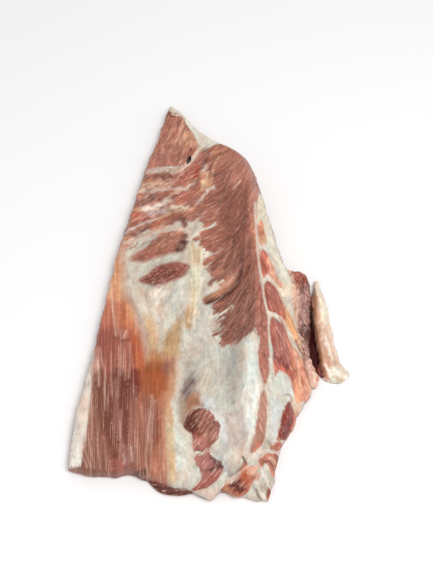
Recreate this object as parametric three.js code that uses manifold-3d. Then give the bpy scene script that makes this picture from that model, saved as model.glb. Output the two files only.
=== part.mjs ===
// Raw pork spare ribs: one untrimmed slab, lying with its outer side up.
// Millimetres, +Z up. The slab's length runs along Y, front edge at -Y, thick back ridge towards +X.
// The origin is on the table, under the middle of the slab's box.

import * as THREE from 'three';
import { mergeVertices } from 'three/addons/utils/BufferGeometryUtils.js';
import Module from 'manifold-3d';

// ---- Driving dimensions ----------------------------------------------------------------------

// The four edges of the slab in plan, each a smooth curve through a few points.
const LEFT_EDGE = [
  [-127, -186], [-124, -140], [-114.5, -90], [-104.5, -32], [-96, 22], [-82.5, 78], [-70, 132], [-56, 180],
  [-46, 219],
];
const BACK_EDGE = [[-46, 219], [-31, 205], [-17, 185], [2, 166], [21, 150], [37, 134]];
const RIGHT_EDGE = [
  [48, -214], [54, -192], [61, -166], [71, -148], [78, -130], [88, -116], [90, -104], [88.5, -84],
  [83, -56], [81, -34], [80.5, -12], [77, 2], [70.5, 16], [62, 44], [50, 92], [37, 134],
];
const FRONT_EDGE = [
  [-127, -186], [-108, -190.5], [-88, -192], [-76, -190], [-66, -191.5], [-51, -198], [-29, -203.5],
  [-19, -205.5], [-10, -211], [-2, -214], [4, -208], [9, -206], [18, -210], [30, -211.5], [40, -213],
  [48, -214],
];

// Heights of the outer side. A station is [share of the length, value].
const FLAP_THICKNESS = 13;
const TIP_THINNING = { height: 2, from: 0.75, to: 1 };
const RIDGE_HEIGHT = [
  [0, 26], [0.05, 36], [0.12, 44], [0.22, 52], [0.38, 57], [0.6, 58], [0.8, 53], [0.93, 45], [1, 38],
];
const RIDGE_PLACE = [[0, 0.74], [0.15, 0.8], [0.3, 0.81], [0.6, 0.8], [0.8, 0.83], [1, 0.88]];
const RISE_START = [[0, 0.3], [0.3, 0.3], [0.55, 0.12], [0.8, 0.2], [0.86, 0.34], [1, 0.42]];
const RIGHT_RIM_HEIGHT = [
  [0, 9], [0.1, 11], [0.25, 14], [0.4, 10], [0.55, 14], [0.7, 18], [0.85, 24], [1, 26],
];
const RIDGE_ROUNDING = 12;
const RIDGE_LIFT = 1.5;
const RISE_ROUNDING = 0.35;
const FLANK_POWER = 0.85;

// Rounding of the upper rim, from each edge inwards.
const LEFT_ROUNDING = 6;
const RIGHT_ROUNDING = 8;
const FRONT_ROUNDING = { cut: 3, bulge: 14, from: 0.42, to: 0.6 };
const BACK_ROUNDING = { tip: 6, ridge: 20, from: 0.35, to: 0.9 };

// The wall under the rim, taller at the back right, and never more than a share of the height there.
const RIM_WALL = 8.5;
const BACK_WALL_EXTRA = { height: 12, along: [0.8, 1], across: [0.5, 0.9] };
const RIM_SHARE = 0.75;

// Underside: an arch between the flap and the chine edge, with the ribs standing out of it.
const ARCH_HEIGHT = 9;
const ARCH_ENDS = { front: [0, 0.16], back: [1, 0.9], share: 0.38 };
const ARCH_SIDES = { left: [0.28, 0.5], right: [0.95, 0.8] };
const TAIL_ARCH_LOSS = 0.8;
const RIB_PITCH = 28;
const RIB_RELIEF = 3.4;
const RIB_SLANT = 0.1;
const RIB_PHASE = 118;
const LOWER_ROUNDING = 4;
const LOWER_LIFT = 2.5;

// Low waves over the ribs on the outer side, where the slab is thin.
const RIB_BAND_RELIEF = 1.6;
const RIB_BAND_ZONE = { left: [-110, -88], right: [-8, -30], front: [10, 40], back: [150, 128] };

// Folds, seams and cords of muscle: a line in plan, its half width and its height.
const LINES = [
  { path: [[30, 6], [24, -8], [10, -19], [-6, -29]], width: 6, height: 4.5 },
  { path: [[33, 6], [31, -8], [22, -24], [8, -33], [-6, -35]], width: 2.8, height: -3.4 },
  { path: [[19, 32], [15, 10], [11, -2]], width: 2.4, height: -1.6 },
  { path: [[29, 84], [22, 40], [14, -10]], width: 2.8, height: -1 },
  { path: [[42, 75], [43, 29], [46, -31], [51, -81], [50, -122]], width: 2.8, height: -2.6 },
  { path: [[-60, -20], [-49, -5]], width: 5, height: 4.5 },
  { path: [[-16, 38], [-19, -31], [-16, -58]], width: 6.5, height: 2 },
  { path: [[45, -22], [50, -18], [57, -26], [66, -27], [79, -25]], width: 3.2, height: -3 },
  { path: [[51, -56], [64, -53], [73, -67], [82, -77], [88, -94]], width: 3.2, height: -3 },
  { path: [[44, 16], [52, 14], [62, 6]], width: 3, height: -1.8 },
  { path: [[48, 52], [48, 28]], width: 5, height: 2 },
  { path: [[53, 4], [56, -12]], width: 6, height: 2 },
  { path: [[56, -36], [72, -60]], width: 8, height: 3 },
  { path: [[56, -68], [74, -102]], width: 8, height: 3 },
  { path: [[76, -78], [84, -110]], width: 5, height: 2 },
  { path: [[-26, 146], [-24, 152], [-17, 160]], width: 3.5, height: -3 },
  { path: [[-68, 138], [-50, 133], [-29, 128]], width: 3, height: -1.8 },
  { path: [[46, -41], [47, -85], [45, -122]], width: 4, height: 1.5 },
];

// Muscles and lumps that stand above the fat: an outline, how far the edge slopes, and the height.
const SWELLINGS = [
  {
    outline: [[-80, 26], [-62, 43], [-42, 54], [-27, 52], [-27, 38], [-42, 32], [-61, 28]],
    slope: 6,
    height: 2.6,
  },
  {
    outline: [[-70, 2], [-58, 12], [-46, 17], [-35, 16], [-24, 11], [-33, 5], [-43, 2], [-60, -1]],
    slope: 5,
    height: 2.4,
  },
  {
    outline: [
      [-10, 150], [4, 157], [21, 146], [40, 104], [44, 55], [43, 24], [45, -31], [46, -62], [33, -70],
      [13, -80], [3, -63], [1, -47], [-9, -29], [-3, -9], [0, 17], [-17, 40], [-15, 83],
    ],
    slope: 6,
    height: 2.2,
  },
  {
    outline: [
      [-22, -153], [-17, -142], [-10, -138], [0, -141], [6, -152], [7, -166], [4, -174], [-4, -177],
      [-12, -172], [-20, -158],
    ],
    slope: 7,
    height: 2.4,
  },
  {
    outline: [
      [-12, -180], [0, -178], [9, -184], [10, -196], [2, -205], [-8, -207], [-14, -204], [-9, -192],
    ],
    slope: 6,
    height: 2,
  },
  {
    outline: [[50, -116], [60, -112], [70, -118], [72, -128], [60, -134], [52, -130]],
    slope: 8,
    height: 4.5,
  },
  { outline: [[60, -126], [71, -132], [69, -156], [60, -160], [56, -145]], slope: 5, height: 2 },
];
const SWELLING_SKIRT = 1.5;

// The thin tail at the front right, a step below the bulge.
const TAIL_OUTLINE = [
  [-2, -235], [7, -205], [15, -197], [25, -187], [32, -172], [40, -163], [52, -162], [66, -170],
  [85, -190], [70, -240], [30, -245],
];
const TAIL_HEIGHT = 15;
const TAIL_STEP = { from: -3, to: 6 };
const TAIL_LUMPS = { height: 1.5, alongX: 5, alongY: 6 };

// The slit torn through between the tip and the rest, leaning back as it goes down.
const SLIT = { x: -25, y: 155, length: 11, width: 4.6, depth: 80, lean: 36.5, turn: -25 };

// The dark muscle under the right edge: centre line with half widths and half heights.
const LOBE = [
  { at: [75, 11, 9], width: 5, height: 6 },
  { at: [76.5, 8, 9.5], width: 12, height: 12 },
  { at: [77.5, 1, 9.5], width: 13.8, height: 14.5 },
  { at: [78.5, -9, 9], width: 14, height: 15.5 },
  { at: [79, -22, 8.5], width: 13.3, height: 14.5 },
  { at: [78.5, -42, 8], width: 12.3, height: 13.5 },
  { at: [78.5, -62, 7.5], width: 11, height: 12 },
  { at: [80, -78, 6.5], width: 10, height: 10.5 },
  { at: [83.5, -90, 5.5], width: 10, height: 8.5 },
  { at: [87, -99, 4.8], width: 10, height: 6.5 },
  { at: [88.5, -106, 4], width: 5, height: 4 },
];
const LOBE_SIDES = 18;
const LOBE_STEPS = 22;

// The leaf of fat that leans against it: the upper lip, the foot on the table, and the ledge inside.
const LEAF = [
  { lip: [99.8, 7, 4], foot: [100.9, 8], ledge: 0.2 },
  { lip: [98.6, -6, 12], foot: [103, -2], ledge: 0.5 },
  { lip: [98, -17, 16], foot: [105.6, -10], ledge: 3 },
  { lip: [98, -38, 17.5], foot: [109, -28], ledge: 2.6 },
  { lip: [98.4, -58, 17], foot: [112.2, -49], ledge: 1.4 },
  { lip: [100, -73, 15.5], foot: [114.7, -65], ledge: 1.2 },
  { lip: [102.4, -85, 12], foot: [118.5, -80], ledge: 1.2 },
  { lip: [105, -92.5, 7.5], foot: [125.4, -91], ledge: 1.5 },
  { lip: [108, -97.7, 4], foot: [120, -98.5], ledge: 1 },
  { lip: [110.5, -100, 1.5], foot: [114.5, -100.5], ledge: 0.5 },
];
const LEAF_STEPS = 26;
const LEAF_LIP = { width: 2.6, rounding: 0.94 };
const LEAF_LEDGE = { top: 0.66, bottom: 0.2, slope: 0.6 };
const LEAF_BASE = { reach: 8, fullHeight: 12 };
const LEAF_WAVE = { height: 0.9, turns: 5 };

// Its outer face: shares of the way from foot to lip and of the lip's height, and an offset in X.
const LEAF_OUTER_FACE = [[0, 0, 0], [0, 0.16, 0.5], [0.3, 0.42, 1.5], [0.68, 0.78, 1.2]];

// The dark layer that peeps out under the front edge.
const UNDER_LAYER = [
  { at: [-60, -188, 2.6], width: 4, height: 2 },
  { at: [-52, -192.5, 2.9], width: 8.8, height: 2.9 },
  { at: [-44, -197, 3.1], width: 9.5, height: 3.1 },
  { at: [-34, -199, 3.1], width: 9.5, height: 3.1 },
  { at: [-26, -199.3, 3.1], width: 9.2, height: 3.1 },
  { at: [-17, -198.5, 2.9], width: 7.8, height: 2.9 },
  { at: [-9, -198, 2.6], width: 4, height: 2 },
];
const UNDER_LAYER_SIDES = 12;
const UNDER_LAYER_STEPS = 12;

// How finely the solid is faceted.
const ROWS = 66;
const TOP_COLUMNS = 46;
const BOTTOM_COLUMNS = 23;
const EDGE_CROWDING = 0.55;
const CURVE_POINTS_PER_SPAN = 6;
const STATION_POINTS_PER_SPAN = 12;
const EDGE_LENGTH_DIVISIONS = 400;
const SLIT_SEGMENTS = 6;
const MERGE_DISTANCE = 1e-5;

// ---- Numbers and curves ----------------------------------------------------------------------

function clamp01(x) {
  return Math.min(1, Math.max(0, x));
}

// 0 up to one value and 1 past the other, with a soft start and end.
function smooth([from, to], x) {
  const k = clamp01((x - from) / (to - from));
  return k * k * (3 - 2 * k);
}

// A smooth curve through points in plan or in space.
function splineThrough(points, closed = false) {
  const vectors = points.map(([x, y, z = 0]) => new THREE.Vector3(x, y, z));
  return new THREE.CatmullRomCurve3(vectors, closed, 'catmullrom');
}

// Value at a share of the length, on a smooth curve through the stations.
function stationCurve(stations) {
  const curve = splineThrough(stations);
  const samples = curve.getPoints(STATION_POINTS_PER_SPAN * (stations.length - 1));
  return (share) => {
    let k = 1;
    while (k < samples.length - 1 && samples[k].x < share) {
      k += 1;
    }
    const a = samples[k - 1];
    const b = samples[k];
    return THREE.MathUtils.lerp(a.y, b.y, clamp01((share - a.x) / (b.x - a.x)));
  };
}

// Share of the edge walked with even steps, as a point in plan.
function edgeCurve(points) {
  const curve = splineThrough(points);
  curve.arcLengthDivisions = EDGE_LENGTH_DIVISIONS;
  return (share) => curve.getPointAt(clamp01(share));
}

function distanceToLine(points, x, y) {
  let best = Infinity;
  for (let k = 1; k < points.length; k += 1) {
    const a = points[k - 1];
    const b = points[k];
    const along = { x: b.x - a.x, y: b.y - a.y };
    const square = along.x * along.x + along.y * along.y;
    const share = clamp01(((x - a.x) * along.x + (y - a.y) * along.y) / square);
    const distance = Math.hypot(x - a.x - share * along.x, y - a.y - share * along.y);
    best = Math.min(best, distance);
  }
  return best;
}

function isInside(points, x, y) {
  let inside = false;
  for (let k = 1; k < points.length; k += 1) {
    const a = points[k - 1];
    const b = points[k];
    const crosses = (a.y > y) !== (b.y > y);
    if (crosses && x < a.x + ((b.x - a.x) * (y - a.y)) / (b.y - a.y)) {
      inside = !inside;
    }
  }
  return inside;
}

// Distance in from a closed outline, negative outside it.
function depthInside(points, x, y) {
  const distance = distanceToLine(points, x, y);
  return isInside(points, x, y) ? distance : -distance;
}

// 0 at the edge and 1 once a radius away, along a quarter circle.
function quarterRound(distance, radius) {
  const k = 1 - clamp01(distance / radius);
  return Math.sqrt(1 - k * k);
}

// Even parameters from 0 to 1, drawn closer together near both ends.
function crowdedShares(count) {
  const shares = [];
  for (let k = 0; k <= count; k += 1) {
    const u = k / count;
    shares.push(u - (EDGE_CROWDING / (2 * Math.PI)) * Math.sin(2 * Math.PI * u));
  }
  return shares;
}

// ---- The slab's plan and heights -------------------------------------------------------------

const edges = {
  left: edgeCurve(LEFT_EDGE),
  right: edgeCurve(RIGHT_EDGE),
  front: edgeCurve(FRONT_EDGE),
  back: edgeCurve(BACK_EDGE),
};
const ridgeHeight = stationCurve(RIDGE_HEIGHT);
const ridgePlace = stationCurve(RIDGE_PLACE);
const riseStart = stationCurve(RISE_START);
const rightRimHeight = stationCurve(RIGHT_RIM_HEIGHT);

function openCurve(path) {
  return splineThrough(path).getPoints(CURVE_POINTS_PER_SPAN * (path.length - 1));
}

function closedCurve(outline) {
  return splineThrough(outline, true).getPoints(CURVE_POINTS_PER_SPAN * outline.length);
}

const lines = LINES.map((line) => ({ ...line, points: openCurve(line.path) }));
const swellings = SWELLINGS.map((swelling) => ({ ...swelling, points: closedCurve(swelling.outline) }));
const tailPoints = closedCurve(TAIL_OUTLINE);

// Plan point at a share of the length and of the width: a patch blended between the four edges.
function planPoint(along, across) {
  const left = edges.left(along);
  const right = edges.right(along);
  const front = edges.front(across);
  const back = edges.back(across);
  const corner = (cornerAlong, cornerAcross) => {
    const edge = cornerAcross === 0 ? edges.left : edges.right;
    return edge(cornerAlong);
  };
  const blend = (axis) =>
    (1 - across) * left[axis] + across * right[axis] + (1 - along) * front[axis] + along * back[axis]
    - (1 - along) * (1 - across) * corner(0, 0)[axis] - (1 - along) * across * corner(0, 1)[axis]
    - along * (1 - across) * corner(1, 0)[axis] - along * across * corner(1, 1)[axis];
  return {
    x: blend('x'),
    y: blend('y'),
    width: left.distanceTo(right),
    length: front.distanceTo(back),
  };
}

// A ramp that is flat before 0 and rises evenly after it, with a soft start.
function softRamp(x) {
  return (x + Math.sqrt(x * x + RISE_ROUNDING * RISE_ROUNDING)) / 2;
}

// The outer side before its relief: a rise from the flap and a flank, meeting at a rounded ridge.
function crownHeight(along, across) {
  const place = ridgePlace(along);
  const top = ridgeHeight(along);
  const flap = FLAP_THICKNESS - TIP_THINNING.height * smooth([TIP_THINNING.from, TIP_THINNING.to], along);
  const start = riseStart(along);
  const rise = softRamp((across / place - start) / (1 - start)) / softRamp(1);
  const fromFlap = flap + (top - flap) * rise;
  const rim = rightRimHeight(along);
  const fromFlank = rim + (top - rim) * ((1 - across) / (1 - place)) ** FLANK_POWER;
  const gap = fromFlap - fromFlank;
  return (fromFlap + fromFlank - Math.hypot(gap, RIDGE_ROUNDING)) / 2 + RIDGE_LIFT;
}

// One wave a rib along the length, slanting a little.
function ribWave(x, y) {
  return Math.cos((2 * Math.PI * (y - RIB_SLANT * x - RIB_PHASE)) / RIB_PITCH);
}

function ribBands(x, y) {
  const { left, right, front, back } = RIB_BAND_ZONE;
  const zone = smooth(left, x) * smooth(right, x) * smooth(front, y) * smooth(back, y);
  return RIB_BAND_RELIEF * zone * ribWave(x, y);
}

function reliefHeight(x, y) {
  let height = ribBands(x, y);
  for (const line of lines) {
    const distance = distanceToLine(line.points, x, y) / line.width;
    height += line.height * Math.exp(-distance * distance);
  }
  for (const swelling of swellings) {
    const depth = depthInside(swelling.points, x, y);
    height += swelling.height * smooth([-SWELLING_SKIRT, swelling.slope], depth);
  }
  return height;
}

function tailShare(x, y) {
  return smooth([TAIL_STEP.from, TAIL_STEP.to], depthInside(tailPoints, x, y));
}

function blendedRadius({ from, to }, first, second, across) {
  return THREE.MathUtils.lerp(first, second, smooth([from, to], across));
}

function topPoint(along, across) {
  const { x, y, width, length } = planPoint(along, across);
  const tail = tailShare(x, y);
  const lumps = TAIL_LUMPS.height * Math.sin(x / TAIL_LUMPS.alongX) * Math.cos(y / TAIL_LUMPS.alongY);
  const full = crownHeight(along, across) + reliefHeight(x, y);
  const height = full * (1 - tail) + Math.min(full, TAIL_HEIGHT + lumps) * tail;
  const backShare = smooth(BACK_WALL_EXTRA.along, along) * smooth(BACK_WALL_EXTRA.across, across);
  const wall = Math.min(RIM_WALL + BACK_WALL_EXTRA.height * backShare, RIM_SHARE * height);
  const frontRadius = blendedRadius(FRONT_ROUNDING, FRONT_ROUNDING.cut, FRONT_ROUNDING.bulge, across);
  const backRadius = blendedRadius(BACK_ROUNDING, BACK_ROUNDING.tip, BACK_ROUNDING.ridge, across);
  const rounding = quarterRound(across * width, LEFT_ROUNDING)
    * quarterRound((1 - across) * width, RIGHT_ROUNDING)
    * quarterRound(along * length, frontRadius)
    * quarterRound((1 - along) * length, backRadius);
  return [x, y, wall + (height - wall) * rounding];
}

// The ribs stand down out of the arch; everything is held at or above the table.
function bottomPoint(along, across) {
  const { x, y, width, length } = planPoint(along, across);
  const ends = smooth(ARCH_ENDS.front, along) * smooth(ARCH_ENDS.back, along);
  const span = smooth(ARCH_SIDES.left, across) * smooth(ARCH_SIDES.right, across);
  const rise = THREE.MathUtils.lerp(ARCH_ENDS.share, 1, ends) * (1 - TAIL_ARCH_LOSS * tailShare(x, y));
  const arch = ARCH_HEIGHT * span * rise;
  const ribs = (RIB_RELIEF * span * (1 + ribWave(x, y))) / 2;
  const edge = Math.min(across * width, (1 - across) * width, along * length, (1 - along) * length);
  const lift = LOWER_LIFT * (1 - quarterRound(edge, LOWER_ROUNDING));
  return [x, y, Math.max(0, arch - ribs) + lift];
}

// ---- Solids ----------------------------------------------------------------------------------

function geometryFrom(points, triangles) {
  const geometry = new THREE.BufferGeometry();
  geometry.setAttribute('position', new THREE.Float32BufferAttribute(points.flat(), 3));
  geometry.setIndex(triangles.flat());
  return geometry;
}

// Two rows of points joined by triangles, where each has its own number of points.
function zipRows(lower, upper) {
  const triangles = [];
  let a = 0;
  let b = 0;
  while (a < lower.length - 1 || b < upper.length - 1) {
    const stepLower = b === upper.length - 1
      || (a < lower.length - 1 && (a + 1) / (lower.length - 1) <= (b + 1) / (upper.length - 1));
    if (stepLower) {
      triangles.push([lower[a], lower[a + 1], upper[b]]);
      a += 1;
    } else {
      triangles.push([lower[a], upper[b + 1], upper[b]]);
      b += 1;
    }
  }
  return triangles;
}

// Triangles between neighbouring points of two rows of the same length.
function stitchRows(first, second) {
  const triangles = [];
  for (let k = 0; k < first.length - 1; k += 1) {
    triangles.push([first[k], first[k + 1], second[k + 1]], [first[k], second[k + 1], second[k]]);
  }
  return triangles;
}

// The slab: an upper and a lower sheet on the same rows, closed by a wall along the four edges.
function slabGeometry() {
  const rows = crowdedShares(ROWS);
  const points = [];
  const sheet = (shares, pointAt) =>
    rows.map((along) => shares.map((across) => points.push(pointAt(along, across)) - 1));
  const top = sheet(crowdedShares(TOP_COLUMNS), topPoint);
  const bottom = sheet(crowdedShares(BOTTOM_COLUMNS), bottomPoint);
  const triangles = [];
  for (let row = 0; row < ROWS; row += 1) {
    triangles.push(...stitchRows(top[row], top[row + 1]));
    triangles.push(...stitchRows(bottom[row + 1], bottom[row]));
  }
  const leftOf = (rowsOfIds) => rowsOfIds.map((row) => row[0]);
  const rightOf = (rowsOfIds) => rowsOfIds.map((row) => row[row.length - 1]);
  triangles.push(...stitchRows(leftOf(top), leftOf(bottom)));
  triangles.push(...stitchRows(rightOf(bottom), rightOf(top)));
  triangles.push(...zipRows(bottom[0], top[0]));
  triangles.push(...zipRows([...bottom[ROWS]].reverse(), [...top[ROWS]].reverse()));
  return geometryFrom(points, triangles);
}

// Rings of points, each going round anticlockwise seen from the first ring, closed at both ends.
function loftGeometry(rings) {
  const points = rings.flat();
  const sides = rings[0].length;
  const triangles = [];
  for (let ring = 0; ring < rings.length - 1; ring += 1) {
    for (let side = 0; side < sides; side += 1) {
      const next = (side + 1) % sides;
      const [a, b] = [ring * sides + side, ring * sides + next];
      const [c, d] = [a + sides, b + sides];
      triangles.push([a, b, d], [a, d, c]);
    }
  }
  const last = (rings.length - 1) * sides;
  for (let side = 1; side < sides - 1; side += 1) {
    triangles.push([0, side + 1, side], [last, last + side, last + side + 1]);
  }
  return geometryFrom(points, triangles);
}

// A smooth run through the stations of a tapering muscle, with oval rings square to Y or X.
function ovalMuscle(stations, steps, sides, acrossAxis) {
  const places = splineThrough(stations.map((station) => station.at));
  const sizes = splineThrough(stations.map((station) => [station.width, station.height]));
  const rings = [];
  for (let k = 0; k <= steps; k += 1) {
    const place = places.getPoint(k / steps);
    const size = sizes.getPoint(k / steps);
    const ring = [];
    for (let side = 0; side < sides; side += 1) {
      const turn = (2 * Math.PI * side) / sides;
      const point = place.clone();
      point[acrossAxis] += size.x * Math.cos(turn);
      point.z = Math.max(0, point.z + size.y * Math.sin(turn));
      ring.push(point.toArray());
    }
    rings.push(ring);
  }
  return loftGeometry(rings);
}

// The leaf: its outer face runs from the foot up to the lip, its inner face down over a ledge to a base.
function leafGeometry() {
  const lips = splineThrough(LEAF.map((station) => station.lip));
  const feet = splineThrough(LEAF.map((station) => [...station.foot, station.ledge]));
  const rings = [];
  for (let k = 0; k <= LEAF_STEPS; k += 1) {
    const share = k / LEAF_STEPS;
    const lip = lips.getPoint(share);
    const { x: footX, y: footY, z: ledge } = feet.getPoint(share);
    const wave = LEAF_WAVE.height * Math.sin(2 * Math.PI * LEAF_WAVE.turns * share);
    const outerFace = LEAF_OUTER_FACE.map(([way, rise, offset]) => [
      THREE.MathUtils.lerp(footX, lip.x, way) + offset + wave * rise * (1 - rise),
      THREE.MathUtils.lerp(footY, lip.y, way),
      lip.z * rise,
    ]);
    const lipSide = lip.z * LEAF_LIP.rounding;
    const inside = lip.x - LEAF_LIP.width / 2;
    const wall = inside - ledge;
    const base = wall - LEAF_LEDGE.slope - LEAF_BASE.reach * Math.min(1, lip.z / LEAF_BASE.fullHeight);
    rings.push([
      ...outerFace,
      [lip.x + LEAF_LIP.width / 2, lip.y, lipSide],
      [lip.x, lip.y, lip.z],
      [inside, lip.y, lipSide],
      [wall, lip.y, lip.z * LEAF_LEDGE.top],
      [wall - LEAF_LEDGE.slope, lip.y, lip.z * LEAF_LEDGE.bottom],
      [base, lip.y, 0],
    ]);
  }
  return loftGeometry(rings);
}

// A pointed slot through the slab, turned about its own axis and leaning back towards the bottom.
function slitGeometry() {
  const half = SLIT.length / 2;
  const outline = new THREE.Shape();
  outline.moveTo(0, -half);
  outline.quadraticCurveTo(SLIT.width, 0, 0, half);
  outline.quadraticCurveTo(-SLIT.width, 0, 0, -half);
  const settings = { depth: SLIT.depth, bevelEnabled: false, curveSegments: SLIT_SEGMENTS };
  const geometry = new THREE.ExtrudeGeometry(outline, settings);
  geometry.translate(0, 0, -SLIT.depth / 2);
  geometry.rotateZ(THREE.MathUtils.degToRad(SLIT.turn));
  geometry.rotateX(THREE.MathUtils.degToRad(SLIT.lean));
  geometry.translate(SLIT.x, SLIT.y, 0);
  return geometry;
}

const wasm = await Module();
wasm.setup();

function solidFrom(geometry) {
  const bare = geometry.clone();
  bare.deleteAttribute('normal');
  bare.deleteAttribute('uv');
  const merged = mergeVertices(bare, MERGE_DISTANCE);
  const mesh = new wasm.Mesh({
    numProp: 3,
    vertProperties: new Float32Array(merged.attributes.position.array),
    triVerts: new Uint32Array(merged.index.array),
  });
  return new wasm.Manifold(mesh);
}

function geometryOf(solid) {
  const { numProp, vertProperties, triVerts } = solid.getMesh();
  const geometry = new THREE.BufferGeometry();
  geometry.setAttribute('position', new THREE.BufferAttribute(new Float32Array(vertProperties), numProp));
  geometry.setIndex(new THREE.BufferAttribute(new Uint32Array(triVerts), 1));
  geometry.computeVertexNormals();
  return geometry;
}

// One solid: the slab, the dark muscle, the leaf and the layer underneath, less the slit.
function ribsGeometry() {
  const lobe = ovalMuscle(LOBE, LOBE_STEPS, LOBE_SIDES, 'x');
  const underLayer = ovalMuscle(UNDER_LAYER, UNDER_LAYER_STEPS, UNDER_LAYER_SIDES, 'y');
  const joined = solidFrom(slabGeometry())
    .add(solidFrom(lobe))
    .add(solidFrom(leafGeometry()))
    .add(solidFrom(underLayer));
  return geometryOf(joined.subtract(solidFrom(slitGeometry())));
}

// ---- The model -------------------------------------------------------------------------------

const meat = new THREE.MeshStandardMaterial({ color: 0xc79a8a, roughness: 0.45, metalness: 0 });

const ribs = new THREE.Mesh(ribsGeometry(), meat);
ribs.name = 'spare_ribs';
ribs.geometry.computeBoundingBox();
const middle = ribs.geometry.boundingBox.getCenter(new THREE.Vector3());
ribs.position.set(-middle.x, -middle.y, 0);

const group = new THREE.Group();
group.add(ribs);

export default group;
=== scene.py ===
"""Raw pork spare ribs: the slab's surface, its fat and lean, the table, the light and the camera.

The slab lies with its outer side up. Sizes are in millimetres in plan coordinates, as the solid's are,
and become metres in the frame when a mesh is made. Shapes are worked out as whole numpy arrays.
"""
import math

import bpy
import numpy as np
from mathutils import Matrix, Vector


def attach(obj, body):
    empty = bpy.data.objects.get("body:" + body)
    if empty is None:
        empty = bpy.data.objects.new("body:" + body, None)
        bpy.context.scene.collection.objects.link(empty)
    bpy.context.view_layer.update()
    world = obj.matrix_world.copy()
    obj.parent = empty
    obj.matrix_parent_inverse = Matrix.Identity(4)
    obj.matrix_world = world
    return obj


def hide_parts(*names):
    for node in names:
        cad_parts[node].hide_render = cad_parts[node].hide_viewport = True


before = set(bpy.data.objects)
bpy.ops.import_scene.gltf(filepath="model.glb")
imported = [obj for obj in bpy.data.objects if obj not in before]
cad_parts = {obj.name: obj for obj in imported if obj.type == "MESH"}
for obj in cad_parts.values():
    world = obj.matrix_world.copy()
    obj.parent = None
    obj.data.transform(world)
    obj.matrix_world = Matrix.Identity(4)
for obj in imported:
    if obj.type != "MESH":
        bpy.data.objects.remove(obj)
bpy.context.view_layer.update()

NODE = "spare_ribs"
MM = 0.001

# ---- The form: the solid's named sizes, and fine waves and relief that the solid leaves out ----

LEFT_EDGE = [
    (-127, -186), (-124, -140), (-114.5, -90), (-104.5, -32), (-96, 22), (-82.5, 78), (-70, 132), (-56, 180),
    (-46, 219),
]
BACK_EDGE = [(-46, 219), (-31, 205), (-17, 185), (2, 166), (21, 150), (37, 134)]
RIGHT_EDGE = [
    (48, -214), (54, -192), (61, -166), (71, -148), (78, -130), (88, -116), (90, -104), (88.5, -84),
    (83, -56), (81, -34), (80.5, -12), (77, 2), (70.5, 16), (62, 44), (50, 92), (37, 134),
]
FRONT_EDGE = [
    (-127, -186), (-108, -190.5), (-88, -192), (-76, -190), (-66, -191.5), (-51, -198), (-29, -203.5),
    (-19, -205.5), (-10, -211), (-2, -214), (4, -208), (9, -206), (18, -210), (30, -211.5), (40, -213),
    (48, -214),
]

FLAP_THICKNESS = 13
TIP_THINNING = {"height": 2, "along": (0.75, 1)}
RIDGE_HEIGHT = [
    (0, 26), (0.05, 36), (0.12, 44), (0.22, 52), (0.38, 57), (0.6, 58), (0.8, 53), (0.93, 45), (1, 38),
]
RIDGE_PLACE = [(0, 0.74), (0.15, 0.8), (0.3, 0.81), (0.6, 0.8), (0.8, 0.83), (1, 0.88)]
RISE_START = [(0, 0.3), (0.3, 0.3), (0.55, 0.12), (0.8, 0.2), (0.86, 0.34), (1, 0.42)]
RIGHT_RIM_HEIGHT = [
    (0, 9), (0.1, 11), (0.25, 14), (0.4, 10), (0.55, 14), (0.7, 18), (0.85, 24), (1, 26),
]
RIDGE_ROUNDING = 12
RIDGE_LIFT = 1.5
RISE_ROUNDING = 0.35
FLANK_POWER = 0.85

LEFT_ROUNDING = 6
RIGHT_ROUNDING = 8
FRONT_ROUNDING = {"radii": (3, 14), "across": (0.42, 0.6)}
BACK_ROUNDING = {"radii": (6, 20), "across": (0.35, 0.9)}

# The wall under the rim, taller at the back right, and never more than a share of the height there.
RIM_WALL = 8.5
BACK_WALL_EXTRA = {"height": 12, "along": (0.8, 1), "across": (0.5, 0.9)}
RIM_SHARE = 0.75

# The underside: an arch between the flap and the chine edge, with the ribs standing out of it.
ARCH_HEIGHT = 9
ARCH_ENDS = {"front": (0, 0.16), "back": (1, 0.9), "share": 0.38}
ARCH_SIDES = {"left": (0.28, 0.5), "right": (0.95, 0.8)}
TAIL_ARCH_LOSS = 0.8
RIB_PITCH = 28
RIB_RELIEF = 3.4
RIB_SLANT = 0.1
RIB_PHASE = 118
LOWER_ROUNDING = 4
LOWER_LIFT = 2.5

# Low waves over the ribs on the outer side, where the slab is thin.
RIB_BAND_RELIEF = 1.6
RIB_BAND_ZONE = {"left": (-110, -88), "right": (-8, -30), "front": (10, 40), "back": (150, 128)}

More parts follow.
